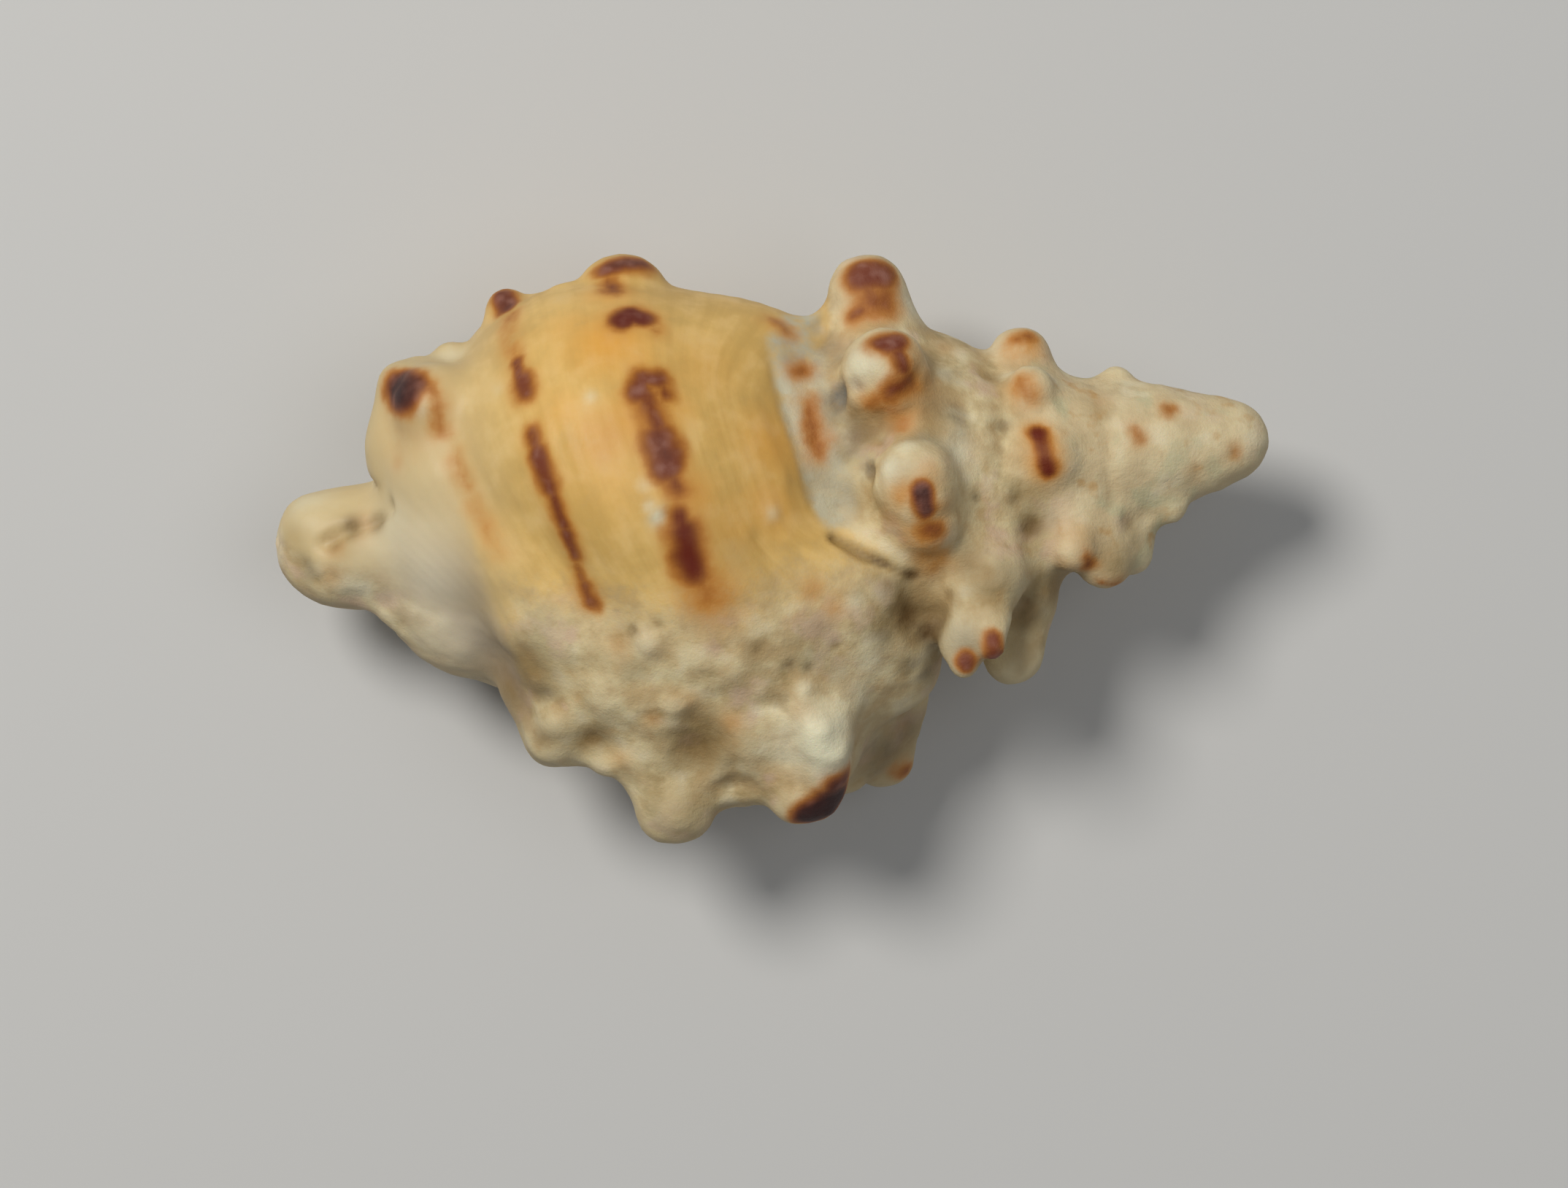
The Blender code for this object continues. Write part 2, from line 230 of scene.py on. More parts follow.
def whorl_tree():
    """The section swept along the growth rule, with the varices' flares, closed at both ends."""
    tree, given = new_tree(
        "swept whorls", Section="Object", Rings="Int", Sides="Int", Start="Float", End="Float",
        Taper="Float", LeftFlare="Float", RightFlare="Float", LipFlare="Float",
    )
    turns = given["End"] - given["Start"]
    grid = node(tree, "GeometryNodeMeshGrid", {
        "Size X": turns, "Size Y": 1.0, "Vertices X": given["Rings"], "Vertices Y": given["Sides"],
    })
    across, along, _ = parts(tree, tree.nodes.new("GeometryNodeInputPosition").outputs[0])
    turn = across + turns * 0.5 + given["Start"]
    size = GROWTH ** turn

    # the section, drawn in to a point at both ends
    loop = node(tree, "GeometryNodeObjectInfo", {"Object": given["Section"]})
    drawn = node(tree, "GeometryNodeSampleCurve", {
        "Curves": loop.outputs["Geometry"], "Factor": along + 0.5,
    })
    opened = ((turn - given["Start"]) / given["Taper"]).step(-0.17, 1.0).act("SQRT")
    inside = across.act("ABSOLUTE").act("LESS_THAN", turns * 0.49999)
    axial, radial = (
        middle + (part - middle) * opened * inside
        for middle, part in zip(SECTION_MIDDLE, parts(tree, drawn.outputs["Position"]))
    )

    # the flares of the old lips, and of the last one
    past_first = turn - FIRST_VARIX
    count = (past_first * -2.0).act("ROUND").act("MAXIMUM", 0.0)
    past = past_first + count * 0.5
    width = 0.15 + past.act("GREATER_THAN", 0.0) * 0.03
    spike = (1.0 - past.act("ABSOLUTE") / width).act("MAXIMUM", 0.0) ** 1.4
    odd = count.act("MODULO", 2.0)
    strength = given["LeftFlare"] + odd * (given["RightFlare"] - given["LeftFlare"])
    flare = strength * spike * radial.step(3.4, 6.0)
    lip = given["LipFlare"] * turn.step(-0.07, 0.0) * radial.step(4.0, 7.0)
    lean = axial.step(27.0, 32.0) * math.radians(30.0)

    # the sag
    first, last = BASE_SAG_TURNS
    hang = ((turn - first) / (last - first)).act("MAXIMUM", 0.0).act("MINIMUM", 1.0)
    base_sag = (hang * math.pi).act("SINE") ** 2.0 * BASE_SAG
    suture_sag = turn.step(*SUTURE_SAG_BEGINS) * (1.0 - turn.step(*SUTURE_SAG_ENDS)) * SUTURE_SAG
    sag = suture_sag + (base_sag - suture_sag) * axial.step(*SUTURE_TO_BASE)

    far = size * (axial + flare * lean.act("SINE")) + sag
    out = size * (radial + flare * lean.act("COSINE") + lip)
    angle = turn * math.tau + math.radians(LIP_ANGLE)
    place = vector(
        tree, APEX.x - far, APEX.y - out * angle.act("COSINE"), APEX.z + out * angle.act("SINE")
    )
    moved = node(tree, "GeometryNodeSetPosition", {"Geometry": grid.outputs[0], "Position": place})
    closed = node(tree, "GeometryNodeMergeByDistance", {"Geometry": moved.outputs[0], "Distance": 0.0005})
    end_tree(tree, closed.outputs[0])
    return tree


swept = whorl_tree()
whorl_section = section_curve("whorl_section", [
    (17.0, 5.7), (19.0, 7.2), (21.3, 7.9), (23.8, 8.6), (26.2, 8.7), (28.4, 8.1), (30.2, 6.8), (31.6, 5.4),
    (32.4, 3.8), (32.6, 2.2), (32.0, 0.0), (29.0, -0.4), (25.0, -0.3), (20.5, 0.6), (17.2, 2.8),
])
whorls = grow(
    "whorls", swept, Section=whorl_section, Rings=420, Sides=97, Start=APEX_TURN, End=0.0, Taper=0.02,
    LeftFlare=4.6, RightFlare=1.4, LipFlare=1.5,
)

# ------------------------------------------------- swellings under the skin
# Where the mantle laid shell on longest it is thick: the rims of the last two varices, the base, the callus
# of the inner lip, the throat behind it and the snout round the canal. Each is a row of round swellings,
# and they fuse with the whorls into one skin.

# angle, axial, radial, radius
left_rim = [
    (-12, 15.7, 8.9, 1.9), (3, 18, 9.2, 2.3), (5, 20.5, 9.1, 2.4), (6, 23, 8.5, 2.3), (6, 25.7, 7.3, 2.0),
    (-14, 16.0, 9.7, 1.3), (-4, 18.4, 10.3, 1.4), (-4, 20.6, 9.8, 1.35), (-4, 22.6, 10.3, 1.4),
    (0, 24.3, 8.6, 1.3), (18, 17.5, 8.6, 1.7), (16, 20.0, 8.9, 1.6), (18, 22.6, 8.1, 1.6),
    (16, 24.8, 7.1, 1.5), (35, 25.0, 5.5, 1.8), (24, 22.5, 7.6, 1.6), (24, 24.3, 7.1, 1.6),
    (36, 23.6, 6.6, 1.4), (20, 17.2, 9.4, 1.2), (14, 17.4, 10.5, 1.2), (6, 26.9, 8.2, 1.15),
    (-10, 16.6, 10.5, 1.2),
]
lip_rim = [
    (205, 21.5, 6.5, 2.0), (205, 24.3, 7.0, 2.1), (205, 26.8, 6.4, 2.0), (198, 29.4, 4.7, 1.8),
    (180, 30.3, 4.0, 1.9), (168, 30.55, 4.0, 1.5), (150, 29.8, 4.9, 1.6), (172, 30.4, 5.0, 1.3),
    (172, 14.1, 5.2, 2.0),
]
base_rim = [
    (62, 27.6, 3.2, 1.8), (36, 26.9, 4.4, 1.9), (20, 26.2, 5.5, 1.85), (10, 26.1, 6.5, 1.5),
    (42, 25.9, 4.3, 2.2), (62, 27.0, 3.3, 2.3), (128, 29.4, 2.4, 2.2), (142, 30.25, 2.3, 1.8),
    (38, 10.7, 5.1, 1.5),
]
suture_fill = [
    (149, 16.9, 4.65, 1.0), (139, 16.9, 3.95, 1.0), (124, 16.9, 3.6, 1.05), (108, 16.7, 3.25, 1.05),
    (90, 16.5, 3.2, 1.0), (59, 14.6, 3.7, 1.2),
]
knob_feet = [
    (85, 13.1, 3.6, 1.95), (67, 12.9, 4.5, 1.5), (134, 13.7, 3.9, 1.9), (90, 8.2, 2.4, 1.4),
]


def polar(angle, axial, radial):
    """A point beside the coiling axis, as (axial, y, z)."""
    turned = math.radians(angle)
    return axial, -radial * math.cos(turned), radial * math.sin(turned)


# axial, y, z, and a radius each way: first the rows above, then the throat, the inner lip and the snout
swellings = [
    (*polar(*spot), radius, radius, radius)
    for *spot, radius in left_rim + lip_rim + base_rim + suture_fill + knob_feet
]
swellings += [
    (26.6, 0.0, -0.2, 6.1, 4.6, 4.8),
    (29.0, -1.9, -1.7, 3.8, 4.0, 4.1), (27.4, -2.3, -2.3, 4.1, 4.2, 4.8), (24.4, -2.7, -2.9, 4.4, 4.1, 4.0),
    (32.3, -0.6, -0.4, 2.4, 1.9, 2.2), (33.4, -0.5, -1.2, 3.1, 2.35, 2.4), (34.2, 0.15, -0.9, 2.1, 1.6, 1.9),
    (35.1, 0.6, -1.0, 1.05, 1.1, 1.3),
]


def point_mesh(name, spots, **loads):
    """A mesh of loose points that carry vectors."""
    mesh = bpy.data.meshes.new(name)
    mesh.from_pydata([tuple(spot) for spot in spots], [], [])
    for label, vectors in loads.items():
        made = mesh.attributes.new(label, "FLOAT_VECTOR", "POINT")
        made.data.foreach_set("vector", [part for vector in vectors for part in vector])
    return mesh


def carried(tree, label, kind="FLOAT_VECTOR"):
    """What the tree's points carry under a name."""
    read = node(tree, "GeometryNodeInputNamedAttribute", {"Name": label}, data_type=kind)
    return read.outputs["Attribute"]


def beside_axis(axial, y, z):
    """A point of the shell in millimetres from its distances along, beside and above the coiling axis."""
    return APEX + Vector((-axial, y, z))


def swelling_tree():
    """Round swellings on points, each as large as its girth."""
    tree, given = new_tree("swellings", Fineness="Int")
    ball = node(tree, "GeometryNodeMeshIcoSphere", {"Radius": 1.0, "Subdivisions": given["Fineness"]})
    rows = node(tree, "GeometryNodeInstanceOnPoints", {
        "Points": given["Geometry"], "Instance": ball.outputs["Mesh"], "Scale": carried(tree, "girth"),
    })
    end_tree(tree, rows.outputs[0])
    return tree


swelling_points = point_mesh(
    "swellings", [beside_axis(*row[:3]) for row in swellings], girth=[row[3:] for row in swellings]
)
swelling_balls = grow("swellings", swelling_tree(), swelling_points, Fineness=4)


def fuse(name, meshes, grain, passes):
    """Turns overlapping closed meshes into one closed skin of even grain, and softens it."""
    together = bmesh.new()
    for mesh in meshes:
        together.from_mesh(mesh)
    data = bpy.data.meshes.new(name)
    together.to_mesh(data)
    together.free()
    holder = added(name, data)
    skin = holder.modifiers.new("one skin", "REMESH")
    skin.mode = "VOXEL"
    skin.voxel_size = grain
    soften = holder.modifiers.new("soften", "SMOOTH")
    soften.iterations = passes
    return settled(holder)


body = fuse("body", [whorls, swelling_balls], grain=0.28, passes=22)

# ----------------------------------------------------- the knobs and the apex
# Each varix carries a row of blunt knobs, where the old lip was folded, and a few smaller ones stand
# between the varices. They are solid pegs with a round top and a wide foot. The apex is a blunt cone, worn
# smooth.

knobs = [
    # angle, axial, radial of the tip, radius: the lip
    (180, 22.8, 9.1, 1.75), (184, 27.0, 8.35, 0.85), (176, 24.8, 8.3, 0.6), (180, 29.2, 6.6, 0.75),
    (165, 30.85, 6.2, 1.1),
    # the left varix
    (-16, 15.1, 11.8, 1.25), (8, 18.1, 12.35, 1.6), (4, 22.75, 12.5, 1.5), (10, 24.9, 9.9, 0.9),
    (0, 26.9, 9.3, 1.15),
    # the whorl before
    (172, 13.95, 8.15, 1.45), (134, 13.7, 6.8, 1.58), (85, 13.1, 6.45, 1.58), (30, 11.6, 7.9, 1.05),
    (28, 12.0, 8.5, 0.55), (34, 10.95, 8.3, 0.55), (8, 10.1, 8.1, 1.15),
    # the older whorls
    (180, 8.65, 4.95, 1.15), (140, 8.5, 4.15, 0.9), (90, 8.2, 3.75, 1.0), (35, 7.6, 4.9, 0.9),
    (20, 6.5, 5.2, 1.05), (8, 5.5, 4.6, 0.9), (183, 5.3, 3.2, 0.7), (20, 3.9, 3.0, 0.7),
    # underneath
    (-48, 17.6, 9.5, 1.2), (-88, 16.4, 7.15, 1.1), (-125, 14.4, 6.4, 0.9), (-90, 10.1, 4.7, 0.65),
    (-45, 10.5, 5.3, 0.7),
]


def peg_tree():
    """Turned pegs on points. A peg's Z runs out along the point's direction, and its tip is on the point."""
    tree, given = new_tree("pegs", Length="Float", Foot="Float", Sides="Int")
    heel = vector(tree, 0.0, 0.0, given["Length"] * -1.0)
    line = node(tree, "GeometryNodeCurvePrimitiveLine", {"Start": heel, "End": (0.0, 0.0, 0.0)})
    stations = node(tree, "GeometryNodeResampleCurve", {"Curve": line.outputs[0], "Count": 40})
    share = Term(tree, tree.nodes.new("GeometryNodeSplineParameter").outputs["Factor"])
    below_tip = (1.0 - share) * given["Length"]
    dome = (1.0 - (1.0 - below_tip.act("MINIMUM", 1.0)) ** 2.0).act("MAXIMUM", 0.0001).act("SQRT")
    skirt = 1.0 + (given["Foot"] - 1.0) * below_tip.step(0.8, 2.9)
    rim = node(tree, "GeometryNodeCurvePrimitiveCircle", {"Resolution": given["Sides"], "Radius": 1.0})
    peg = node(tree, "GeometryNodeCurveToMesh", {
        "Curve": stations.outputs[0], "Profile Curve": rim.outputs[0], "Scale": dome * skirt,
        "Fill Caps": True,
    })
    aim = node(tree, "FunctionNodeAlignRotationToVector", {"Vector": carried(tree, "outward")}, axis="Z")
    rows = node(tree, "GeometryNodeInstanceOnPoints", {
        "Points": given["Geometry"], "Instance": peg.outputs[0], "Rotation": aim.outputs[0],
        "Scale": carried(tree, "girth"),
    })
    end_tree(tree, rows.outputs[0])
    return tree


def knob_tip(angle, axial, radial):
    """A point of the shell in millimetres from its angle and distances."""
    return beside_axis(*polar(angle, axial, radial))


knob_points = point_mesh(
    "knobs", [knob_tip(*row[:3]) for row in knobs], girth=[[row[3]] * 3 for row in knobs],
    outward=[knob_tip(row[0], 0.0, 1.0) - APEX for row in knobs],
)
pegs = grow("knobs", peg_tree(), knob_points, Length=3.8, Foot=1.6, Sides=28)

# the cone's (axial, radial) profile, turned round the axis
apex_profile = [(7.5, 3.0), (3.75, 2.3), (1.9, 1.75), (0.9, 1.4), (0.38, 1.05), (0.11, 0.6), (0.0, 0.15)]
apex_cone = bmesh.new()
apex_rings = [
    [apex_cone.verts.new(knob_tip(angle, axial, radial)) for angle in range(0, 360, 12)]
    for axial, radial in apex_profile
]
for ring, following in zip(apex_rings, apex_rings[1:]):
    for k, corner in enumerate(ring):
        apex_cone.faces.new((ring[k - 1], corner, following[k], following[k - 1]))
apex_cone.faces.new(apex_rings[0])
apex_cone.faces.new(apex_rings[-1])
bmesh.ops.recalc_face_normals(apex_cone, faces=apex_cone.faces)
apex_mesh = bpy.data.meshes.new("apex")
apex_cone.to_mesh(apex_mesh)
apex_cone.free()

knobbed = fuse("knobbed", [body, pegs, apex_mesh], grain=0.2, passes=8)

# -------------------------------------------------- the mouth and the canal
# The last whorl is hollow from its mouth to a point further in, and a groove, the siphonal canal, runs from
# the mouth out through the snout. Both are cut out of the solid skin, which is then given its final grain.

hollow_section = section_curve("hollow_section", [
    (20.0, 5.3), (22.5, 7.0), (25.5, 7.75), (28.4, 7.35), (30.6, 6.0), (31.6, 4.2), (31.2, 2.8), (28.5, 2.5),
    (24.5, 2.4), (21.2, 3.2),
])
hollow = grow(
    "hollow", swept, Section=hollow_section, Rings=90, Sides=61, Start=-0.66, End=0.1, Taper=0.12,
    LeftFlare=0.0, RightFlare=0.0, LipFlare=0.0,
)

# the canal's middle line and its radius: axial, y, z, radius
canal_line = [
    (28.8, 2.8, -4.0, 1.8), (30.8, 1.7, -3.9, 1.35), (32.6, 0.7, -3.6, 1.1), (34.4, 0.0, -3.2, 0.95),
    (37.5, -0.3, -2.7, 0.9),
]
tube = smooth_curve("canal", [beside_axis(*row[:3]) for row in canal_line])
for knot, row in zip(tube.data.splines[0].bezier_points, canal_line):
    knot.radius = row[3]
tube.data.bevel_depth = 1.0
tube.data.bevel_resolution = 6
tube.data.use_fill_caps = True
canal = settled(tube)


def carve(mesh, cutters):
    """Cuts closed meshes out of a closed mesh."""
    block = added("block", mesh)
    tools = []
    for cutter in cutters:
        shape = bmesh.new()
        shape.from_mesh(cutter)
        bmesh.ops.recalc_face_normals(shape, faces=shape.faces)
        shape.to_mesh(cutter)
        shape.free()
        tools.append(added(cutter.name, cutter))
        cut = block.modifiers.new("cut the " + cutter.name, "BOOLEAN")
        cut.operation = "DIFFERENCE"
        cut.solver = "EXACT"
        cut.object = tools[-1]
    return settled(block, *tools)


FINE_GRAIN = 0.172
skin = fuse("skin", [carve(knobbed, [hollow, canal])], grain=FINE_GRAIN, passes=3)
for section in (whorl_section, hollow_section):
    bpy.data.objects.remove(section)

# ------------------------------------------- wear, pits and growth marks
# The sea has rolled this shell. The back of the last whorl still has its glaze, over faint spiral cords and
# growth lines. The left varix and the older whorls are chalky, pitted and lumpy, with knobs worn to white
# enamel, dark hollows between them, and a few deep holes and grooves. Each vertex of the skin is moved.

WHORL_TOP = 16.6  # where a whorl ends and the one before it begins, along the axis of a whorl of full size
EYE = Vector((0.07, -2.13, 180.7))
OUTSIDE = 30.0

count = len(skin.vertices)
places = np.empty(count * 3)
skin.vertices.foreach_get("co", places)
places = places.reshape(-1, 3)
edges = np.empty(len(skin.edges) * 2, dtype=np.int64)
skin.edges.foreach_get("vertices", edges)
edges = edges.reshape(-1, 2)
degree = np.bincount(edges.ravel(), minlength=count)


def averaged(values, passes):
    """Values at the vertices, each averaged with its neighbours a number of times."""
    columns = values.reshape(count, -1).copy()
    for _ in range(passes):
        for column in columns.T:
            total = np.zeros(count)
            for one, other in ((0, 1), (1, 0)):
                total += np.bincount(edges[:, one], column[edges[:, other]], count)
            column[:] = 0.5 * (column + total / degree)
    return columns.reshape(values.shape)


def eased(low, high, values):
    """0 below low, 1 above high, and smooth between them."""
    share = np.clip((values - low) / (high - low), 0.0, 1.0)
    return share * share * (3.0 - 2.0 * share)


def hump(distance, radius):
    """1 at no distance, falling softly to a third at the radius."""
    return np.exp(-(distance / radius) ** 2)


def swells(scale, shift=0.0):
    """Smooth noise at the vertices, from -1 to 1, with about this many swells to a millimetre."""
    return np.array([noise.noise(spot) for spot in map(Vector, places * scale + shift)])


def outward_normals():
    """The skin's normals after its vertices are moved to their places."""
    skin.vertices.foreach_set("co", places.ravel())
    skin.update()
    normals = np.empty(count * 3)
    skin.vertices.foreach_get("normal", normals)
    return normals.reshape(-1, 3)


def stands_off(passes):
    """How far each vertex stands out from the averaged skin, below zero in a hollow."""
    return np.einsum("ij,ij->i", places - averaged(places, passes), normals)


normals = outward_normals()
faces = BVHTree.FromPolygons([tuple(v) for v in places], [tuple(f.vertices) for f in skin.polygons])


def first_met(eye, spot):
    """Where a look from an eye to a spot meets the skin, or else the spot."""
    return np.array(faces.ray_cast(eye, spot - eye)[0] or spot)


def on_back(axial, side):
    """The skin under a spot of the axis plane, as an eye held over the middle of the shell sees it."""
    return first_met(EYE, beside_axis(axial, side, 0.0))


def on_side(angle, axial):
    """The outermost point of the skin at an angle about the axis and a distance along it."""
    return first_met(knob_tip(angle, axial, OUTSIDE), beside_axis(axial, 0.0, 0.0))


def distance_to(spots, on=on_back):
    """Each vertex's distance from a spot on the skin, or from a line through some spots."""
    points = [on(*spot) for spot in spots]
    if len(points) == 1:
        return np.linalg.norm(places - points[0], axis=1)
    near = np.full(count, 1e9)
    for one, other in zip(points, points[1:]):
        run = other - one
        share = np.clip((places - one) @ run / max(run @ run, 1e-9), 0.0, 1.0)
        near = np.minimum(near, np.linalg.norm(places - one - share[:, None] * run, axis=1))
    return near


# where each vertex lies in the growth of the shell
axial = APEX.x - places[:, 0]
side = places[:, 1] - APEX.y
up = places[:, 2] - APEX.z
radial = np.hypot(side, up)
angle = np.degrees(np.arctan2(up, -side)) % 360.0
turn = ((angle - LIP_ANGLE) % 360.0) / 360.0 - 1.0
first, last = BASE_SAG_TURNS
base_sag = np.sin(np.clip((turn - first) / (last - first), 0.0, 1.0) * math.pi) ** 2 * BASE_SAG
suture_sag = eased(*SUTURE_SAG_BEGINS, turn) * (1.0 - eased(*SUTURE_SAG_ENDS, turn)) * SUTURE_SAG
along = axial / GROWTH ** turn
for _ in range(3):
    sag = suture_sag + (base_sag - suture_sag) * eased(*SUTURE_TO_BASE, along)
    along = (axial - sag) / GROWTH ** turn
whorl = np.zeros(count)
for _ in range(4):
    older = along < WHORL_TOP
    turn[older] -= 1.0
    whorl[older] += 1.0
    along[older] = axial[older] / GROWTH ** turn[older]
last_whorl = averaged((whorl < 0.5).astype(float), 3)
outward = places[:, 1:] - (APEX.y, APEX.z)
facing_axis = -np.einsum("ij,ij->i", normals[:, 1:], outward) / np.maximum(radial, 0.1)
inside_mouth = averaged(eased(0.0, 0.25, facing_axis) * (axial > 15.0), 4)

# how worn each place is: the glazed back and the neck least, the varix and the spire most
wander = 45.0 * swells(0.35)
back = eased(38.0, 76.0, angle) * (1.0 - eased(256.0, 290.0, angle + wander))
neck = eased(26.5, 28.5, axial) * (angle < 270.0) * eased(20.0, 60.0, angle)
glaze = averaged(last_whorl * np.maximum(back, neck), 6)
wear = 1.0 - glaze

# wear fills the creases round the knobs, and rounds the last whorl's edge where it meets the spire
seam_line = [
    (16.6, 6.0), (17.3, 5.2), (17.2, 3.6), (16.9, 1.9), (16.6, 0.0), (16.2, -1.4), (15.2, -2.0),
    (14.0, -2.9), (13.2, -3.6),
]
seam = 1.0 - eased(0.4, 1.5, distance_to(seam_line))
for passes, deepest, share, softened in ((45, 0.6, 0.75, 4), (16, 0.4, 0.9, 3)):
    normals = outward_normals()
    dip = np.clip(-stands_off(passes), 0.0, deepest)
    places += normals * averaged(dip * share * wear, softened)[:, None]
places += averaged(seam, 4)[:, None] * (averaged(places, 30) - places)
normals = outward_normals()

# hollows and lumps on the back, from the snout to the apex: axial, side, radius, height
worn_spots = [
    (35.3, -1.0, 0.4, -0.2), (35.2, 0.8, 0.6, 0.1), (34.9, -1.6, 0.3, -0.15), (34.3, -0.3, 0.35, -0.1),
    (34.3, -1.5, 0.35, -0.12), (33.5, 0.25, 0.35, -0.1), (32.5, 0.3, 0.3, -0.1), (32.4, -3.0, 0.7, 0.35),
    (32.0, 0.8, 0.3, -0.08), (30.5, 4.3, 0.25, 0.08), (27.1, 1.4, 0.25, -0.06), (26.8, -7.6, 0.6, 0.15),
    (26.8, -7.9, 1.1, 0.25), (26.6, -7.4, 0.8, 0.25), (25.5, -8.5, 0.7, -0.2), (24.9, -6.6, 0.7, 0.15),
    (24.5, -10.3, 0.4, -0.2), (24.4, -9.3, 0.35, 0.1), (24.3, 4.0, 0.2, 0.08), (23.7, -4.6, 0.25, -0.16),
    (23.3, -7.8, 0.4, -0.1), (23.2, -5.1, 0.6, 0.34), (22.8, -5.7, 0.3, -0.08), (22.7, 0.9, 0.12, 0.06),
    (22.7, -4.5, 0.25, -0.14), (22.7, -10.9, 1.3, 0.2), (22.7, -11.2, 1.0, 0.15), (22.5, -0.4, 0.25, 0.12),
    (22.3, -7.4, 0.5, 0.14), (22.2, 0.0, 0.14, 0.08), (22.0, -0.75, 0.3, -0.14), (21.7, -9.1, 1.3, -0.4),
    (21.2, -6.0, 0.5, 0.1), (21.0, -7.9, 0.45, 0.12), (20.6, -10.7, 0.7, -0.4), (20.5, -8.3, 0.4, 0.1),
    (20.4, 2.6, 0.18, 0.06), (20.3, -6.6, 0.5, 0.15), (19.3, -7.2, 0.45, 0.14), (19.25, -5.8, 0.2, -0.1),
    (19.2, -1.5, 0.2, 0.06), (18.9, -8.3, 0.4, 0.14), (18.4, -7.6, 0.2, -0.1), (18.2, -0.9, 0.3, 0.1),
    (18.1, -6.5, 0.3, -0.16), (17.9, -7.9, 0.35, 0.2), (17.8, -1.9, 0.25, 0.08), (17.7, -7.3, 0.4, 0.3),
    (17.6, 0.4, 0.3, 0.08), (17.5, -6.6, 0.3, -0.14), (17.4, -8.9, 0.6, 0.3), (17.3, 5.8, 0.4, 0.12),
    (16.8, -9.9, 0.6, 0.3), (16.4, 4.1, 0.22, -0.12), (16.4, 2.6, 0.2, -0.12), (16.4, 1.6, 0.25, -0.15),
    (16.4, -5.9, 0.2, -0.1), (15.6, 5.3, 0.4, -0.2), (15.4, 3.0, 0.45, -0.4), (14.9, 1.7, 0.8, -0.5),
    (14.7, 3.4, 0.4, -0.12), (14.6, 0.3, 0.35, -0.35), (14.0, 2.1, 0.5, -0.3), (13.9, 0.3, 0.35, 0.14),
    (13.5, -5.1, 0.9, -0.45), (13.4, 1.9, 0.4, -0.2), (13.4, -0.4, 0.35, -0.12), (13.1, 1.0, 0.45, 0.12),
    (12.9, -1.9, 0.9, 0.25), (12.4, 3.4, 0.5, -0.2), (12.2, -4.5, 0.2, -0.15), (12.1, 0.2, 0.4, 0.1),
    (11.7, 1.8, 0.7, 0.15), (11.1, -3.8, 0.4, -0.12), (11.0, 2.2, 0.5, -0.15), (10.8, -1.1, 0.22, -0.12),
    (9.9, 3.4, 0.5, -0.15), (9.9, 1.4, 0.2, -0.1), (9.5, 1.45, 0.25, -0.14), (9.3, -1.3, 0.3, -0.14),
    (8.8, -2.4, 0.45, -0.3), (5.4, -2.5, 0.5, -0.2), (4.7, -2.2, 0.3, -0.12), (1.3, -0.45, 0.22, -0.12),
]
uneven = 1.0 + 0.6 * swells(1.1)
raised = np.zeros(count)
for *spot, radius, height in worn_spots:
    raised += height * hump(distance_to([spot]) / uneven, radius)

# grooves on the back, the first under the last whorl's edge: half width, depth, a line of (axial, side)
grooves = [
    (0.16, 0.3, [(16.1, -2.0), (15.0, -2.8), (13.3, -3.7)]),
    (0.25, 0.15, [(17.6, 4.6), (17.2, 2.0), (16.7, -0.6)]), (0.14, 0.05, [(18.8, -1.6), (18.2, -4.0)]),
    (0.12, 0.04, [(20.2, -2.8), (19.8, -5.0)]), (0.35, 0.15, [(12.4, -3.6), (12.3, -4.8), (12.9, -5.6)]),
    (0.3, 0.12, [(9.8, 3.6), (9.6, 1.2), (9.9, -0.8)]), (0.22, 0.15, [(10.6, -3.9), (9.3, -5.0)]),
    (0.3, 0.12, [(6.2, 2.6), (5.9, 0.4), (6.0, -1.8)]),
    (0.25, 0.08, [(28.9, -1.6), (28.4, -3.6), (27.3, -5.6)]),
    (0.26, 0.3, [(34.6, -0.3), (33.9, 0.0), (33.2, 0.15), (32.7, 0.25), (32.0, 0.75)]),
]
for half, depth, line in grooves:
    raised -= depth * hump(distance_to(line) / uneven, half)
places += normals * averaged(raised, 3)[:, None]

# teeth inside the lip, and folds across the pillar
TOOTH_SPACING = 1.15
FOLD_SPACING = 1.0
by_the_lip = inside_mouth * eased(0.93, 0.99, GROWTH ** turn) * eased(2.0, 3.5, side)
teeth = 0.22 * np.clip(np.sin(along * math.tau / TOOTH_SPACING), 0.0, None) * by_the_lip
pillar = inside_mouth * eased(1.5, 0.0, side) * (up < 0.0)
folds = 0.12 * np.sin(along * math.tau / FOLD_SPACING) * pillar
places += normals * averaged(teeth + folds, 1)[:, None]


def keep_on_skin(**fields):
    """Stores a value of each vertex under a name, for the node trees to read."""
    for label, values in fields.items():
        made = skin.attributes.new(label, "FLOAT", "POINT")
        made.data.foreach_set("value", values.astype(np.float32))


keep_on_skin(turn=turn, along=along, wear=wear, glaze=glaze * (1.0 - inside_mouth), inside=inside_mouth)


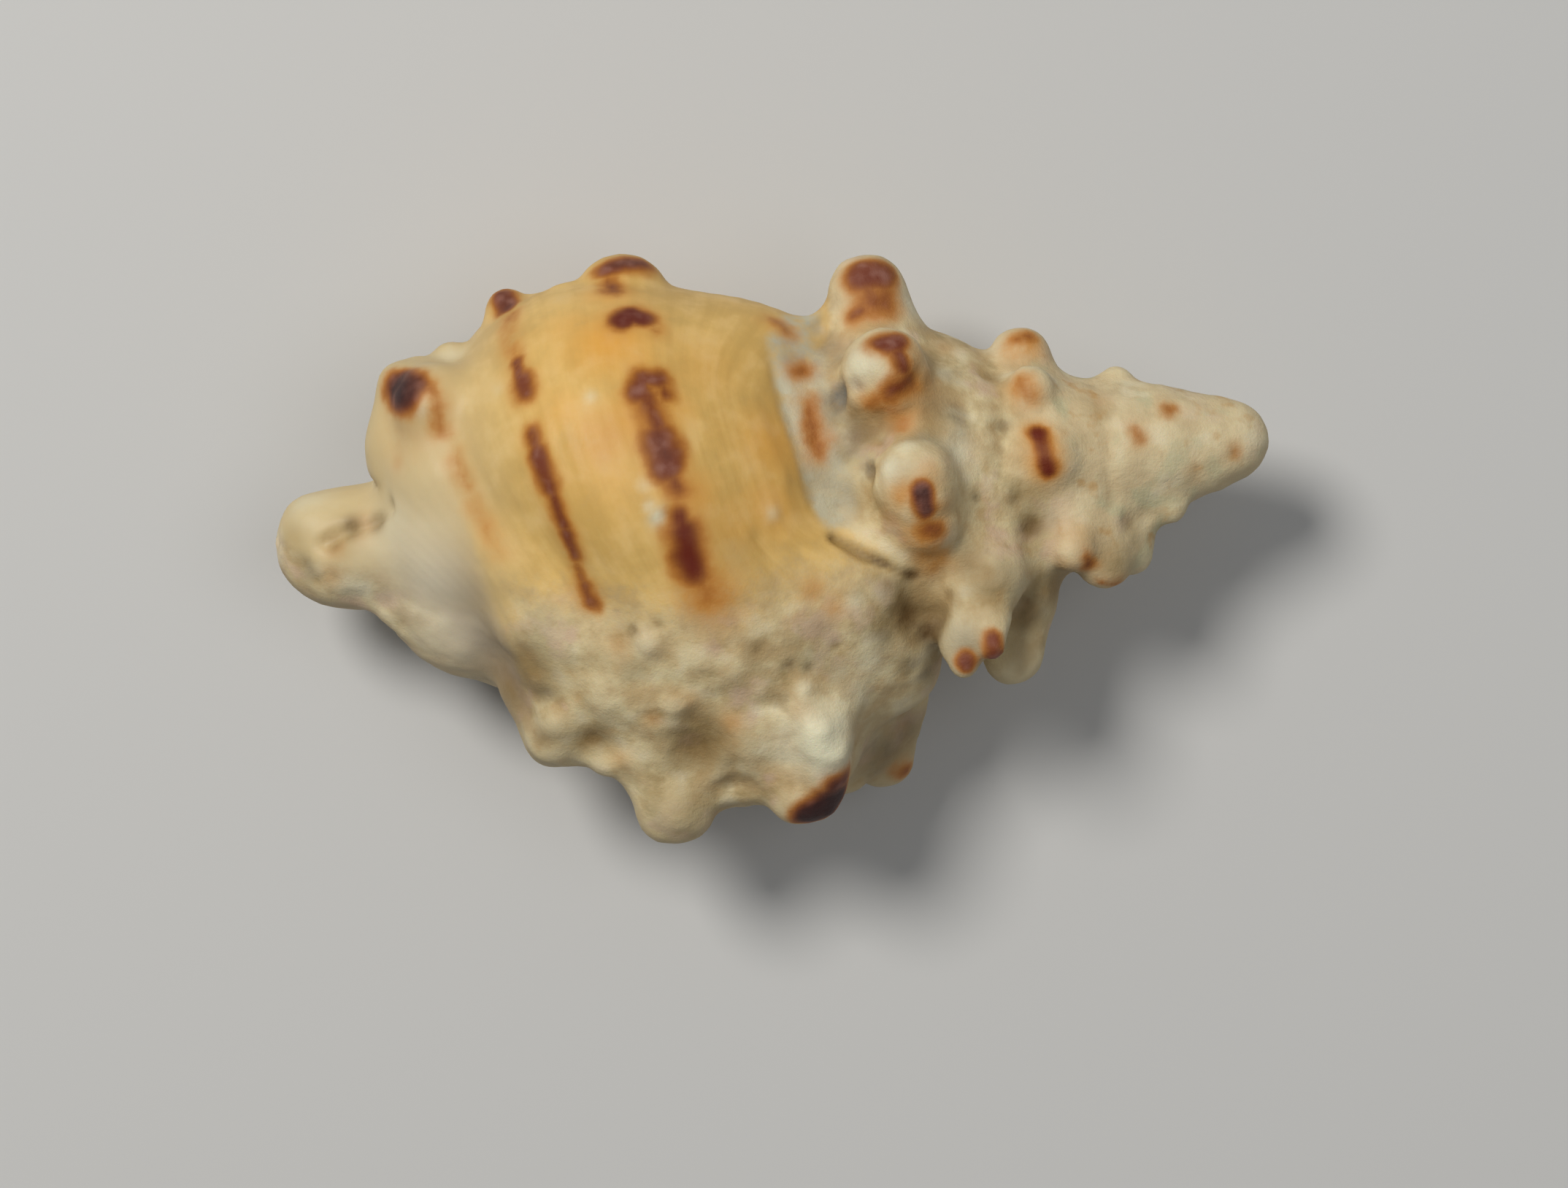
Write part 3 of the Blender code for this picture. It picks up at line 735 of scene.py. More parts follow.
def relief_tree():
    """Moves the skin in and out: cords and growth lines under the glaze, lumps and pits where it is worn."""
    tree, given = new_tree(
        "grown relief", CordHeight="Float", CordSpacing="Float", LineHeight="Float", LumpHeight="Float",
        PitDepth="Float", PitShare="Float", Seed="Float",
    )
    turn, along, wear, glaze, inside = (
        Term(tree, carried(tree, label, "FLOAT")) for label in ("turn", "along", "wear", "glaze", "inside")
    )
    spot = tree.nodes.new("GeometryNodeInputPosition").outputs[0]

    def bumps(scale, detail=1.0, vector=spot):
        made = node(tree, "ShaderNodeTexNoise", {
            "Vector": vector, "W": given["Seed"], "Scale": scale, "Detail": detail, "Roughness": 0.55,
        }, noise_dimensions="4D")
        return Term(tree, made.outputs["Fac"]) - 0.5

    # the cords are strongest by the neck, and the growth lines run across them
    neck = along.step(26.0, 27.5) * (1.0 - along.step(28.6, 29.8))
    cords = (along * math.tau / given["CordSpacing"]).act("SINE") * glaze
    cords = cords * given["CordHeight"] * (0.6 + bumps(0.5) * 2.0) * (1.0 + neck * 1.5)
    lines = bumps(1.0, 2.0, vector(tree, turn * 46.0, along * 0.12, 0.0)) * given["LineHeight"]

    # lumps of three sizes, and round pits of many
    lumps = bumps(0.5) + bumps(1.1) * 0.6 + bumps(2.6) * 0.08
    lumps = lumps * given["LumpHeight"] * (0.06 + wear ** 2.0)
    holes = node(tree, "ShaderNodeTexVoronoi", {
        "Vector": spot, "W": given["Seed"], "Scale": 0.8, "Randomness": 1.0,
    }, voronoi_dimensions="4D", feature="F1")
    girth = (parts(tree, holes.outputs["Color"])[0] - (1.0 - given["PitShare"])) * 0.5
    pits = 1.0 - (Term(tree, holes.outputs["Distance"]) / girth.act("MAXIMUM", 0.001)).step(0.1, 1.0)
    pits = pits * girth.act("GREATER_THAN", 0.0) * given["PitDepth"] * wear

    height = (cords + lines + lumps - pits) * (1.0 - inside)
    normal = tree.nodes.new("GeometryNodeInputNormal").outputs[0]
    offset = node(tree, "ShaderNodeVectorMath", {0: normal, "Scale": height}, operation="SCALE")
    moved = node(tree, "GeometryNodeSetPosition", {
        "Geometry": given["Geometry"], "Offset": offset.outputs[0],
    })
    end_tree(tree, moved.outputs[0])
    return tree


skin.vertices.foreach_set("co", places.ravel())
skin = grow(
    "skin", relief_tree(), skin, CordHeight=0.009, CordSpacing=0.7, LineHeight=0.028, LumpHeight=0.22,
    PitDepth=0.08, PitShare=0.06, Seed=7.0,
)
skin.vertices.foreach_get("co", places.ravel())

# --------------------------------------------------- markings and stains
# Two rows of brown dashes and a faint thin line run round the last whorl, and each varix knob has a dark
# tip. They are pigment in the shell. Orange bleeds from some of them. Silt has stained the hollows, and the
# silt colours also carry painted shade on knobs, hollows and slopes that face away from the light. Each is
# a value at the vertices, which the finish reads.

# half width, softness, tone (0 red-brown, 0.5 brown-purple, 1 purple-black), orange bleed, a line of
# (axial, side), and for a faint one its strength
dashes = [
    # the shoulder row: the knob's cap, then four dashes down the back
    (0.3, 0.3, 0.75, 0.5, [(23.3, 8.5), (22.4, 8.7), (21.9, 8.6)]),
    (0.12, 0.4, 0.2, 0.9, [(23.3, 8.1), (23.0, 7.7)]),
    (0.42, 0.24, 0.08, 0.9, [(22.85, 6.62), (22.5, 6.85), (22.2, 6.65)]),
    (0.08, 0.4, 0.1, 0.9, [(21.9, 6.5), (21.7, 6.1)], 0.5),
    (0.33, 0.3, 0.55, 0.6, [(22.6, 3.95), (22.35, 4.45), (21.8, 4.35)]),
    (0.1, 0.3, 0.3, 0.6, [(21.75, 4.3), (21.6, 3.8)]),
    (0.28, 0.4, 0.45, 0.6, [(22.35, 3.9), (22.15, 3.2), (22.0, 2.7)], 0.92),
    (0.5, 0.35, 0.6, 0.5, [(21.95, 2.2), (21.75, 1.3)]), (0.05, 0.5, 0.1, 0.9, [(21.6, 0.7), (21.5, 0.4)]),
    (0.22, 0.35, 0.0, 0.8, [(21.55, -0.6), (21.5, -1.0)]),
    (0.46, 0.4, 0.0, 1.0, [(21.45, -1.3), (21.25, -2.6)]),
    (0.25, 0.7, 0.0, 1.0, [(21.1, -3.0), (20.9, -3.7)], 0.6),
    # the row below the shoulder
    (0.38, 0.3, 0.7, 0.4, [(27.1, 8.0), (27.0, 7.6)]),
    (0.12, 0.4, 0.2, 0.9, [(26.95, 7.2), (26.9, 5.9)], 0.45),
    (0.16, 0.25, 0.4, 0.7, [(26.85, 5.5), (26.8, 4.9)]),
    (0.27, 0.3, 0.35, 0.6, [(26.75, 4.9), (26.65, 4.4)], 0.92),
    (0.15, 0.3, 0.3, 0.6, [(26.55, 2.9), (26.5, 2.4)], 0.82),
    (0.26, 0.28, 0.4, 0.5, [(26.45, 2.1), (26.1, 0.9)], 0.96),
    (0.14, 0.28, 0.25, 0.6, [(26.0, 0.5), (25.75, -0.5)]),
    (0.18, 0.28, 0.4, 0.5, [(25.7, -0.9), (25.5, -1.7)], 0.93),
    (0.12, 0.3, 0.7, 0.5, [(25.45, -2.1), (25.35, -2.5)], 0.88),
    (0.2, 0.3, 0.8, 0.5, [(25.25, -2.8), (25.1, -3.4)], 0.88),
    # the faint row by the neck, and the lip's lowest knob
    (0.1, 0.35, 0.3, 0.6, [(30.1, 5.0), (29.9, 4.2), (29.8, 3.3)], 0.62),
    (0.08, 0.35, 0.2, 0.5, [(29.4, 2.3), (29.1, 1.3)], 0.42),
    (0.08, 0.5, 0.1, 0.6, [(28.9, 0.6), (28.5, -0.5), (28.2, -1.2)], 0.25),
    (0.72, 0.35, 0.95, 0.4, [(31.25, 5.1), (30.95, 4.9)]),
    # the left varix
    (0.74, 0.28, 1.0, 0.3, [(17.8, -12.0), (17.0, -11.4)]),
    (0.35, 0.3, 0.7, 0.3, [(16.9, -11.0), (16.6, -10.8)]),
    (0.0, 0.5, 0.4, 0.3, [(15.2, -11.3), (14.3, -10.7)]),
    # the whorl before: the long knob's cap, then its lower neighbours
    (0.55, 0.35, 0.6, 0.5, [(14.1, 7.35), (13.4, 7.3)]),
    (0.35, 0.6, 0.3, 0.5, [(13.9, 6.9), (13.8, 6.5)], 0.8),
    (0.4, 0.5, 0.3, 0.5, [(13.3, 6.8), (13.3, 6.4)], 0.72),
    (0.0, 0.4, 0.35, 0.5, [(14.6, 5.9), (14.2, 6.1)]), (0.42, 0.3, 0.35, 0.4, [(13.6, 4.85), (13.1, 4.8)]),
    (0.22, 0.3, 0.2, 0.7, [(13.0, 4.4), (12.85, 3.8)]), (0.25, 0.4, 0.15, 0.9, [(12.7, 3.4), (13.4, 3.1)]),
    (0.08, 0.3, 0.2, 0.7, [(14.0, 2.85), (14.3, 2.65)], 0.6),
    (0.15, 0.4, 0.35, 0.4, [(13.7, 2.3), (13.1, 1.9)], 0.5),
    (0.36, 0.2, 0.93, 0.4, [(12.72, -0.75), (12.65, -1.3)]),
    (0.16, 0.4, 0.05, 0.9, [(12.6, -2.0), (12.35, -2.1)]), (0.1, 0.4, 0.0, 0.9, [(13.55, -0.7)], 0.4),
    (0.15, 0.5, 0.0, 0.9, [(12.7, -2.6), (12.6, -3.2)], 0.4), (0.3, 0.2, 0.6, 0.0, [(11.8, -7.0)], 0.93),
    (0.26, 0.2, 0.5, 0.1, [(10.75, -6.9), (10.7, -6.3)], 0.95),
    (0.05, 0.5, 0.4, 0.3, [(16.8, 4.1), (16.5, 4.15)], 0.85),
    (0.06, 0.5, 0.4, 0.4, [(16.5, 2.9), (16.4, 1.9), (16.35, 1.1)], 0.85),
    (0.15, 0.5, 0.15, 0.6, [(17.4, 5.9), (17.1, 5.7)], 0.6),
    # the older whorls
    (0.12, 0.3, 0.0, 0.9, [(8.75, 4.45), (8.35, 4.5)], 0.8),
    (0.12, 0.4, 0.15, 0.7, [(8.75, 2.85), (8.6, 2.4)], 0.75),
    (0.22, 0.2, 0.0, 0.9, [(8.35, 1.0), (8.05, -0.4)]), (0.05, 0.3, 0.1, 0.4, [(7.0, -3.65), (7.0, -3.95)]),
    (0.0, 0.3, 0.3, 0.3, [(6.6, -4.65), (6.0, -4.75)]),
    (0.08, 0.25, 0.1, 0.3, [(4.85, 0.75), (4.7, 0.35)], 0.6), (0.05, 0.35, 0.1, 0.4, [(3.5, 1.35)]),
    (0.12, 0.3, 0.45, 0.1, [(1.3, -0.45)], 0.45), (0.05, 0.3, 0.1, 0.2, [(2.75, -0.95)], 0.4),
]
# the same rows, on towards the lip and on the side that lies in shade: the line is of (angle, axial)
side_dashes = [
    (0.45, 0.35, 0.5, 0.7, [(193, 22.6), (199, 22.9)]), (0.4, 0.4, 0.2, 0.7, [(208, 23.4), (215, 23.8)]),
    (0.3, 0.3, 0.5, 0.5, [(192, 27.5), (200, 27.8)]), (0.28, 0.3, 0.4, 0.5, [(207, 28.2), (214, 28.5)]),
    (0.35, 0.4, 0.7, 0.4, [(-48, 17.6)]), (0.3, 0.4, 0.4, 0.4, [(-88, 16.4)]),
    (0.2, 0.6, 0.4, 0.4, [(-12, 22.6), (-18, 22.4)], 0.8),
]
ragged = swells(1.1) + 0.3 * swells(2.6, 40.0)
paint, tone, bleed = np.zeros((3, count))
for on, rows in ((on_back, dashes), (on_side, side_dashes)):
    for half, softness, depth, halo, line, *faint in rows:
        outside = distance_to(line, on) - half - 0.04 + (0.3 * softness + 0.08) * ragged
        cover = 1.0 - eased(-1.5 * softness, 2.0 * softness, outside)
        if faint:
            cover *= faint[0]
        tone = tone * (1.0 - cover) + depth * cover
        paint = np.maximum(paint, cover)
        bleed = np.maximum(bleed, halo * hump(np.clip(outside, 0.0, None), 0.45))


def patches(spots):
    """A soft field that is strongest in the middle of each spot."""
    field = np.zeros(count)
    for *spot, radius, strength in spots:
        field = np.maximum(field, strength * hump(distance_to([spot]), radius))
    return field


# warm orange under the glaze, yellow stains in the chalk, white enamel on the worn knobs with painted light
# on some shaded spots, and blue-grey, brown and olive silt with painted shade besides, each from the snout
# to the
# apex: axial, side, radius, strength
warmth = patches([
    (25.4, 3.6, 1.0, 0.4), (24.7, 6.6, 1.2, 0.4), (24.1, 2.5, 1.3, 0.5), (23.8, 1.0, 1.6, 0.3),
    (23.4, 6.0, 1.6, 0.9), (23.2, 7.6, 1.0, 0.7), (22.9, 3.0, 1.2, 0.6), (22.6, 5.3, 1.0, 0.6),
    (21.2, 3.2, 0.8, 0.5), (21.0, 0.0, 1.0, 0.6), (20.5, -3.6, 1.2, 0.6), (20.3, 4.6, 1.6, 0.3),
    (19.6, -1.2, 1.2, 0.4), (19.4, 2.2, 1.6, 0.15), (18.3, -0.6, 1.2, 0.6), (18.0, 1.6, 1.4, 0.6),
])
ochre = patches([
    (34.3, -1.5, 0.5, 0.4), (34.1, -0.4, 0.5, 0.6), (33.0, 0.2, 0.6, 0.5), (31.5, 2.4, 0.5, 0.4),
    (31.2, 3.4, 1.3, 0.35), (24.6, -9.2, 0.5, 0.4), (24.2, -5.0, 0.5, 0.5), (24.0, 2.5, 1.0, 0.55),
    (23.3, -4.8, 0.6, 0.25), (23.3, -7.9, 0.4, 0.6), (22.8, -5.3, 0.6, 0.3), (21.9, -7.4, 0.5, 0.4),
    (21.3, 0.3, 0.8, 0.7), (20.9, -3.9, 0.9, 0.8), (20.6, -4.5, 1.0, 0.5), (20.5, -8.3, 0.5, 0.7),
    (19.2, -10.6, 0.7, 0.1), (18.6, -9.2, 0.5, 0.3), (18.5, -10.6, 0.7, 0.25), (17.9, -8.1, 0.4, 0.6),
    (17.0, -3.8, 0.5, 0.8), (16.3, -4.5, 0.6, 0.6), (15.0, 4.9, 0.6, 0.4), (14.4, 5.5, 0.6, 0.4),
    (14.2, 2.6, 0.4, 0.4), (13.9, 6.2, 0.7, 0.5), (13.8, -1.5, 0.6, 0.6), (13.4, -0.5, 0.5, 0.5),
    (13.4, -2.4, 0.6, 0.4), (13.0, -2.1, 0.8, 0.9), (12.9, 2.9, 0.6, 0.6), (12.9, -0.6, 0.7, 0.4),
    (12.9, -3.6, 0.6, 0.4), (12.6, 2.4, 0.6, 0.6), (12.6, -3.0, 0.7, 0.6), (12.5, 6.2, 0.6, 0.3),
    (12.4, 4.2, 0.6, 0.7), (12.3, 0.0, 0.7, 0.5), (12.2, 3.2, 0.8, 0.8), (12.1, -1.3, 0.6, 0.6),
    (12.0, -2.4, 0.5, 0.7), (11.4, 4.4, 0.5, 0.4), (11.3, 0.4, 0.7, 0.25), (10.9, 0.5, 0.5, 0.4),
    (8.6, 2.6, 0.7, 0.6), (8.5, 4.2, 0.8, 1.0), (8.2, 0.3, 0.9, 0.75), (7.8, -3.9, 0.5, 0.5),
    (7.4, 0.9, 0.3, 0.4), (7.2, -2.9, 0.7, 0.4), (6.0, 1.9, 0.5, 0.3),
])
# white enamel where the knobs are worn, and painted light: lighter spots on slopes that the lights leave in
# shade
enamel = patches([
    (35.0, 1.2, 0.9, 0.4), (33.6, -2.0, 0.7, 0.5), (32.0, 0.0, 1.2, 0.4), (30.5, 4.2, 0.3, 0.6),
    (29.2, 6.0, 0.6, 0.5), (27.6, 4.6, 0.3, 0.15), (24.3, 4.0, 0.25, 0.4), (23.3, -4.95, 0.5, 0.35),
    (22.7, 0.6, 0.3, 0.3), (22.6, -0.2, 0.25, 0.6), (22.3, -0.6, 0.35, 1.0), (18.4, -9.4, 1.0, 0.6),
    (18.2, -0.9, 0.3, 0.4), (17.7, -7.3, 0.3, 0.8), (17.3, -9.4, 1.4, 1.0), (16.6, -10.2, 0.8, 0.8),
    (16.4, -6.9, 0.5, 0.4), (15.9, -7.6, 0.8, 0.4), (15.5, -4.4, 0.4, 0.4), (15.4, -0.9, 0.7, 0.4),
    (15.2, -6.6, 0.7, 0.45), (15.0, 6.6, 0.6, 0.35), (14.6, -4.2, 0.4, 0.3), (14.5, 4.2, 0.8, 0.9),
    (13.9, 0.2, 0.6, 0.7), (13.6, 3.5, 0.4, 0.8), (13.2, 1.0, 0.4, 0.4), (12.5, 6.2, 0.8, 0.7),
    (12.0, -2.5, 0.5, 0.6), (11.9, -6.3, 0.8, 0.55), (11.3, 0.6, 0.8, 0.65), (9.5, 4.3, 0.6, 0.4),
])
# blue-grey silt; some spots, such as the one on the low knob of the whorl before, are painted shade
blue_silt = patches([
    (31.2, 5.7, 0.5, 0.3), (22.6, 8.9, 0.6, 0.3), (16.9, 4.8, 0.7, 0.5), (16.3, 0.2, 0.6, 0.12),
    (16.0, 5.7, 0.5, 0.5), (15.6, 4.5, 0.9, 0.5), (15.4, 3.0, 0.6, 1.0), (15.3, -0.2, 0.5, 0.3),
    (14.8, 3.4, 0.35, 0.4), (14.6, 0.4, 0.4, 0.7), (14.4, 4.2, 0.7, 0.16), (13.9, 7.7, 0.3, 0.3),
    (13.2, 0.2, 0.8, 0.2), (11.5, -6.6, 0.9, 0.36), (11.2, 3.4, 0.4, 0.4), (11.1, 2.0, 0.5, 0.4),
    (11.0, 1.2, 0.4, 0.3),
])
# brown silt in pits and grooves, with painted shade in recesses and on slopes turned from the light
brown_silt = patches([
    (35.3, -1.2, 0.5, 0.4), (34.2, -0.3, 0.3, 0.6), (33.5, 0.25, 0.35, 0.8), (32.5, 0.3, 0.3, 0.7),
    (27.3, -6.2, 0.6, 0.35), (25.6, -8.5, 0.6, 0.25), (23.6, -4.6, 0.2, 0.2), (22.7, -4.5, 0.2, 0.15),
    (21.6, -9.2, 0.9, 0.35), (19.25, -5.8, 0.2, 0.3), (18.1, -6.5, 0.25, 0.4), (17.5, -6.6, 0.25, 0.4),
    (16.9, -5.2, 0.5, 0.3), (16.4, -5.9, 0.2, 0.2), (15.6, 2.2, 0.5, 0.4), (15.1, 1.2, 0.7, 0.5),
    (15.0, -10.0, 1.6, 0.7), (14.9, 1.7, 0.8, 0.6), (14.6, -3.6, 0.5, 0.4), (14.6, -5.6, 0.6, 0.5),
    (14.3, -4.0, 0.6, 0.5), (14.3, -9.4, 1.2, 0.7), (14.0, 2.1, 0.5, 0.5), (13.9, -6.9, 0.5, 0.5),
    (13.5, -5.1, 0.8, 1.0), (13.4, 1.8, 0.5, 0.5), (13.2, -7.2, 0.6, 0.6), (13.0, 2.4, 0.4, 0.35),
    (13.0, -5.8, 0.6, 1.0), (12.6, 1.3, 0.6, 0.4), (12.2, 3.0, 0.4, 0.3), (12.2, -4.5, 0.25, 0.5),
    (12.0, 2.3, 0.6, 0.5), (11.9, -6.0, 0.7, 0.16), (11.3, -3.2, 0.8, 0.5), (10.8, -1.1, 0.22, 0.5),
    (10.0, -3.9, 0.8, 0.4), (9.8, 1.45, 0.25, 0.4), (9.4, 1.45, 0.3, 0.5), (9.4, -1.4, 0.35, 0.35),
    (9.4, -5.4, 0.8, 0.6), (8.8, -2.4, 0.35, 0.6), (8.2, -4.6, 0.8, 0.5), (7.2, -4.6, 0.5, 0.4),
    (5.4, -2.5, 0.35, 0.4), (1.3, -0.45, 0.2, 0.4),
])
# olive silt, with painted shade in the crevice by the inner lip's bulge, the hollows under the left varix's
# rim and the spire's lower side
olive_silt = patches([
    (35.6, 0.0, 0.7, 0.3), (35.1, -1.4, 0.5, 0.3), (33.6, 0.1, 0.7, 0.4), (32.5, 0.3, 0.5, 0.4),
    (28.4, -6.2, 1.2, 0.7), (27.6, -5.6, 1.3, 0.8), (26.9, -5.9, 0.6, 0.5), (26.9, -8.0, 1.0, 0.4),
    (26.6, -7.8, 0.9, 0.42), (26.3, -5.5, 0.7, 0.22), (25.7, -8.3, 0.8, 0.5), (24.9, -5.6, 0.7, 0.3),
    (24.0, -4.9, 0.7, 0.3), (23.9, -6.0, 0.5, 0.3), (22.6, -9.9, 0.5, 0.3), (22.6, -11.3, 1.4, 0.45),
    (21.8, -9.0, 1.3, 0.8), (20.0, -8.9, 0.6, 0.3), (19.6, -2.5, 1.2, 0.25), (19.2, -5.8, 0.5, 0.3),
    (17.4, -6.0, 0.9, 0.25), (16.8, -6.7, 0.6, 0.3), (16.4, 0.2, 0.8, 0.3), (15.1, -0.9, 0.7, 0.5),
    (13.5, -5.1, 1.2, 0.8), (12.2, 1.6, 0.6, 0.4), (12.0, -4.7, 0.6, 0.4), (11.6, -6.6, 1.0, 0.35),
    (11.3, 3.0, 0.6, 0.3), (10.7, -4.4, 0.9, 0.6), (10.3, -4.4, 0.7, 0.5), (9.9, -6.6, 0.7, 0.5),
    (9.8, 3.0, 0.5, 0.3), (9.5, -5.6, 0.9, 0.7), (8.9, -1.2, 0.7, 0.5), (8.8, -2.4, 0.9, 0.6),
    (8.6, -4.6, 0.9, 0.6), (6.9, -3.2, 0.6, 0.3), (6.2, 1.6, 0.5, 0.3), (6.0, -4.0, 0.9, 0.7),
    (5.2, -3.2, 0.6, 0.4),
])
under_edge = grooves[0][2]
brown_silt = np.maximum(brown_silt, 0.9 * hump(distance_to(under_edge), 0.24))

# the pale strip along the suture
strip = np.minimum(
    distance_to(seam_line[:6]), distance_to([(16.7, 5.3), (16.3, 1.6), (15.7, -1.1)]) - 0.25
)
behind_lip = eased(140.0, 165.0, angle) * (1.0 - eased(175.0, 185.0, angle))
suture = np.maximum(hump(along - 17.6, 0.55) * last_whorl * behind_lip, 1.0 - eased(0.1, 0.75, strip))

# hollows and crests, from how far each vertex stands off the averaged skin
normals = outward_normals()
crest = stands_off(14)
fine_crest = stands_off(4)
valley = -stands_off(70)
# painted shade: the steep faces turned towards -Y, the side away from the light, are darkened
sand_side = eased(0.9, 0.1, normals[:, 2]) * eased(-0.2, 0.6, -normals[:, 1])

# the smooth grey callus of the inner lip, its snout side, and the inside of the mouth
callus = patches([(30.6, -2.2, 2.4, 1.0), (29.4, -4.2, 2.4, 1.0), (28.2, -5.6, 1.6, 0.8)])
callus *= 0.926 * (axial > 28.7 + 0.22 * (side + 1.5))
below = eased(0.15, -0.35, normals[:, 2]) * eased(22.0, 25.0, axial) * eased(-6.5, -5.0, side)
below *= (1.0 - eased(33.0, 34.5, axial)) * (side < 3.0)
callus = averaged(np.maximum.reduce([callus, below, inside_mouth]), 3)

keep_on_skin(
    paint=paint, tone=tone, bleed=bleed, warmth=warmth, ochre=ochre, enamel=enamel, blue_silt=blue_silt,
    olive_silt=olive_silt, brown_silt=brown_silt, suture=suture, crest=crest, fine_crest=fine_crest,
    valley=valley, sand_side=sand_side, callus=callus, axial=axial,
    spire=averaged((whorl > 1.5).astype(float), 6),
)

# ------------------------------------------------------------- the finish
# Glazed lime, yellow-brown on the back, paler and greyer at its ends. Where the glaze is gone it is chalk,
# and the knobs are white. Roughness, bump and colour follow the wear, and the colour also carries painted
# shade in hollows and on shaded sides, and painted light on some shaded spots.

shell_finish.use_nodes = True
paint_tree = shell_finish.node_tree
principled = paint_tree.nodes["Principled BSDF"]
place_on_shell = paint_tree.nodes.new("ShaderNodeTexCoord").outputs["Object"]


def pigment(red, green, blue):
    """A colour from how it looks on a screen, 0 to 255."""
    shares = [part / 255.0 for part in (red, green, blue)]
    return (*[s / 12.92 if s < 0.04045 else ((s + 0.055) / 1.055) ** 2.4 for s in shares], 1.0)


def kept(label):
    """What the skin's vertices keep under a name."""
    return Term(paint_tree, node(paint_tree, "ShaderNodeAttribute", attribute_name=label).outputs["Fac"])


def cloud(scale, detail=3.0, roughness=0.55):
    """Noise from -0.5 to 0.5, with about this many clouds to a millimetre."""
    made = node(paint_tree, "ShaderNodeTexNoise", {
        "Vector": place_on_shell, "Scale": scale * 1000.0, "Detail": detail, "Roughness": roughness,
    })
    return Term(paint_tree, made.outputs["Fac"]) - 0.5


def mixed(share, colour, other):
    """One colour turning into another as share goes from 0 to 1."""
    made = node(paint_tree, "ShaderNodeMix", data_type="RGBA")
    made.clamp_factor = True
    for slot, value in ((0, share), (6, colour), (7, other)):
        join(paint_tree, value, made.inputs[slot])
    return made.outputs[2]


def layered(ground, *coats):
    """Coats laid over a ground one after another, each a share and a colour on a screen."""
    for share, *screen in coats:
        ground = mixed(share, ground, pigment(*screen))
    return ground


broad, middling, fine = cloud(0.22), cloud(0.9), cloud(3.2, 4.0, 0.65)
glazed, spire, white, callus_share = (kept(label) for label in ("glaze", "spire", "enamel", "callus"))
chalky = 1.0 - glazed
along_axis = kept("axial")

# the glaze is honey, streaked along the coil
coil = vector(paint_tree, kept("along") * 1.8, kept("turn") * 7.0, 0.0)
streaks = node(paint_tree, "ShaderNodeTexNoise", {"Vector": coil, "Scale": 1.0, "Detail": 3.0})
streak = Term(paint_tree, streaks.outputs["Fac"]) - 0.5
honey = layered(
    pigment(214, 174, 98),
    ((broad * 1.6 + streak * 0.8 + middling * 1.1 + 0.5).step(0.1, 0.9), 236, 196, 118),
    (kept("warmth") + middling * 0.3, 238, 172, 74),
    (along_axis.step(26.0, 30.5) * 0.9, 218, 196, 148),
)

# the chalk is clouded with pink, brown, grey-green, yellow and white
chalk = layered(
    pigment(200, 172, 124),
    ((middling * 2.4 + broad + 0.5).step(0.1, 0.9), 230, 210, 162),
    ((cloud(0.55, 2.0) * 3.0 + fine * 0.6).step(0.15, 0.6) * 0.6, 222, 190, 164),
    ((cloud(0.7) * 3.2 + fine * 0.6).step(0.15, 0.7) * 0.6, 170, 146, 96),
    (spire * 0.5, 225, 205, 165),
    ((cloud(0.62, 2.0) * 3.4 + fine * 0.5).step(0.05, 0.6) * (0.2 + spire * 0.5), 200, 194, 154),
    ((cloud(1.15, 2.0) * 3.4 + fine * 0.3).step(0.2, 0.8) * (0.25 + spire * 0.4), 196, 150, 86),
    ((cloud(0.9, 1.0) * 3.4 + fine * 0.3).step(0.2, 0.9) * 0.5, 240, 226, 192),
)

# both meet in a broken border, and the callus is bare and smooth
border = (glazed + fine * 0.6 + middling * 0.9).step(0.1, 0.9)
ground = layered(
    mixed(border, chalk, honey),
    (kept("crest").step(-0.02, 0.10) * chalky * 0.65, 236, 220, 178),
    (kept("ochre") * (0.8 + middling * 2.5), 204, 140, 62),
    (kept("suture") * (0.8 + cloud(1.4) * 2.4 + fine * 0.8), 205, 197, 168),
    # white enamel, and painted light on shaded spots; the strongest spots are painted brighter still
    (white + middling * 0.4, 234, 228, 198),
    (white * 1.5 - 0.9, 255, 247, 208),
)
# the callus is grey and paler towards the snout; its darker end by the body whorl is partly its own grey and
# partly painted shade on the lower side of its bulge
ground = mixed(callus_share, ground, layered(
    pigment(148, 129, 112),
    (along_axis.step(27.5, 31.0), 232, 219, 190),
    (kept("inside"), 226, 206, 172),
))

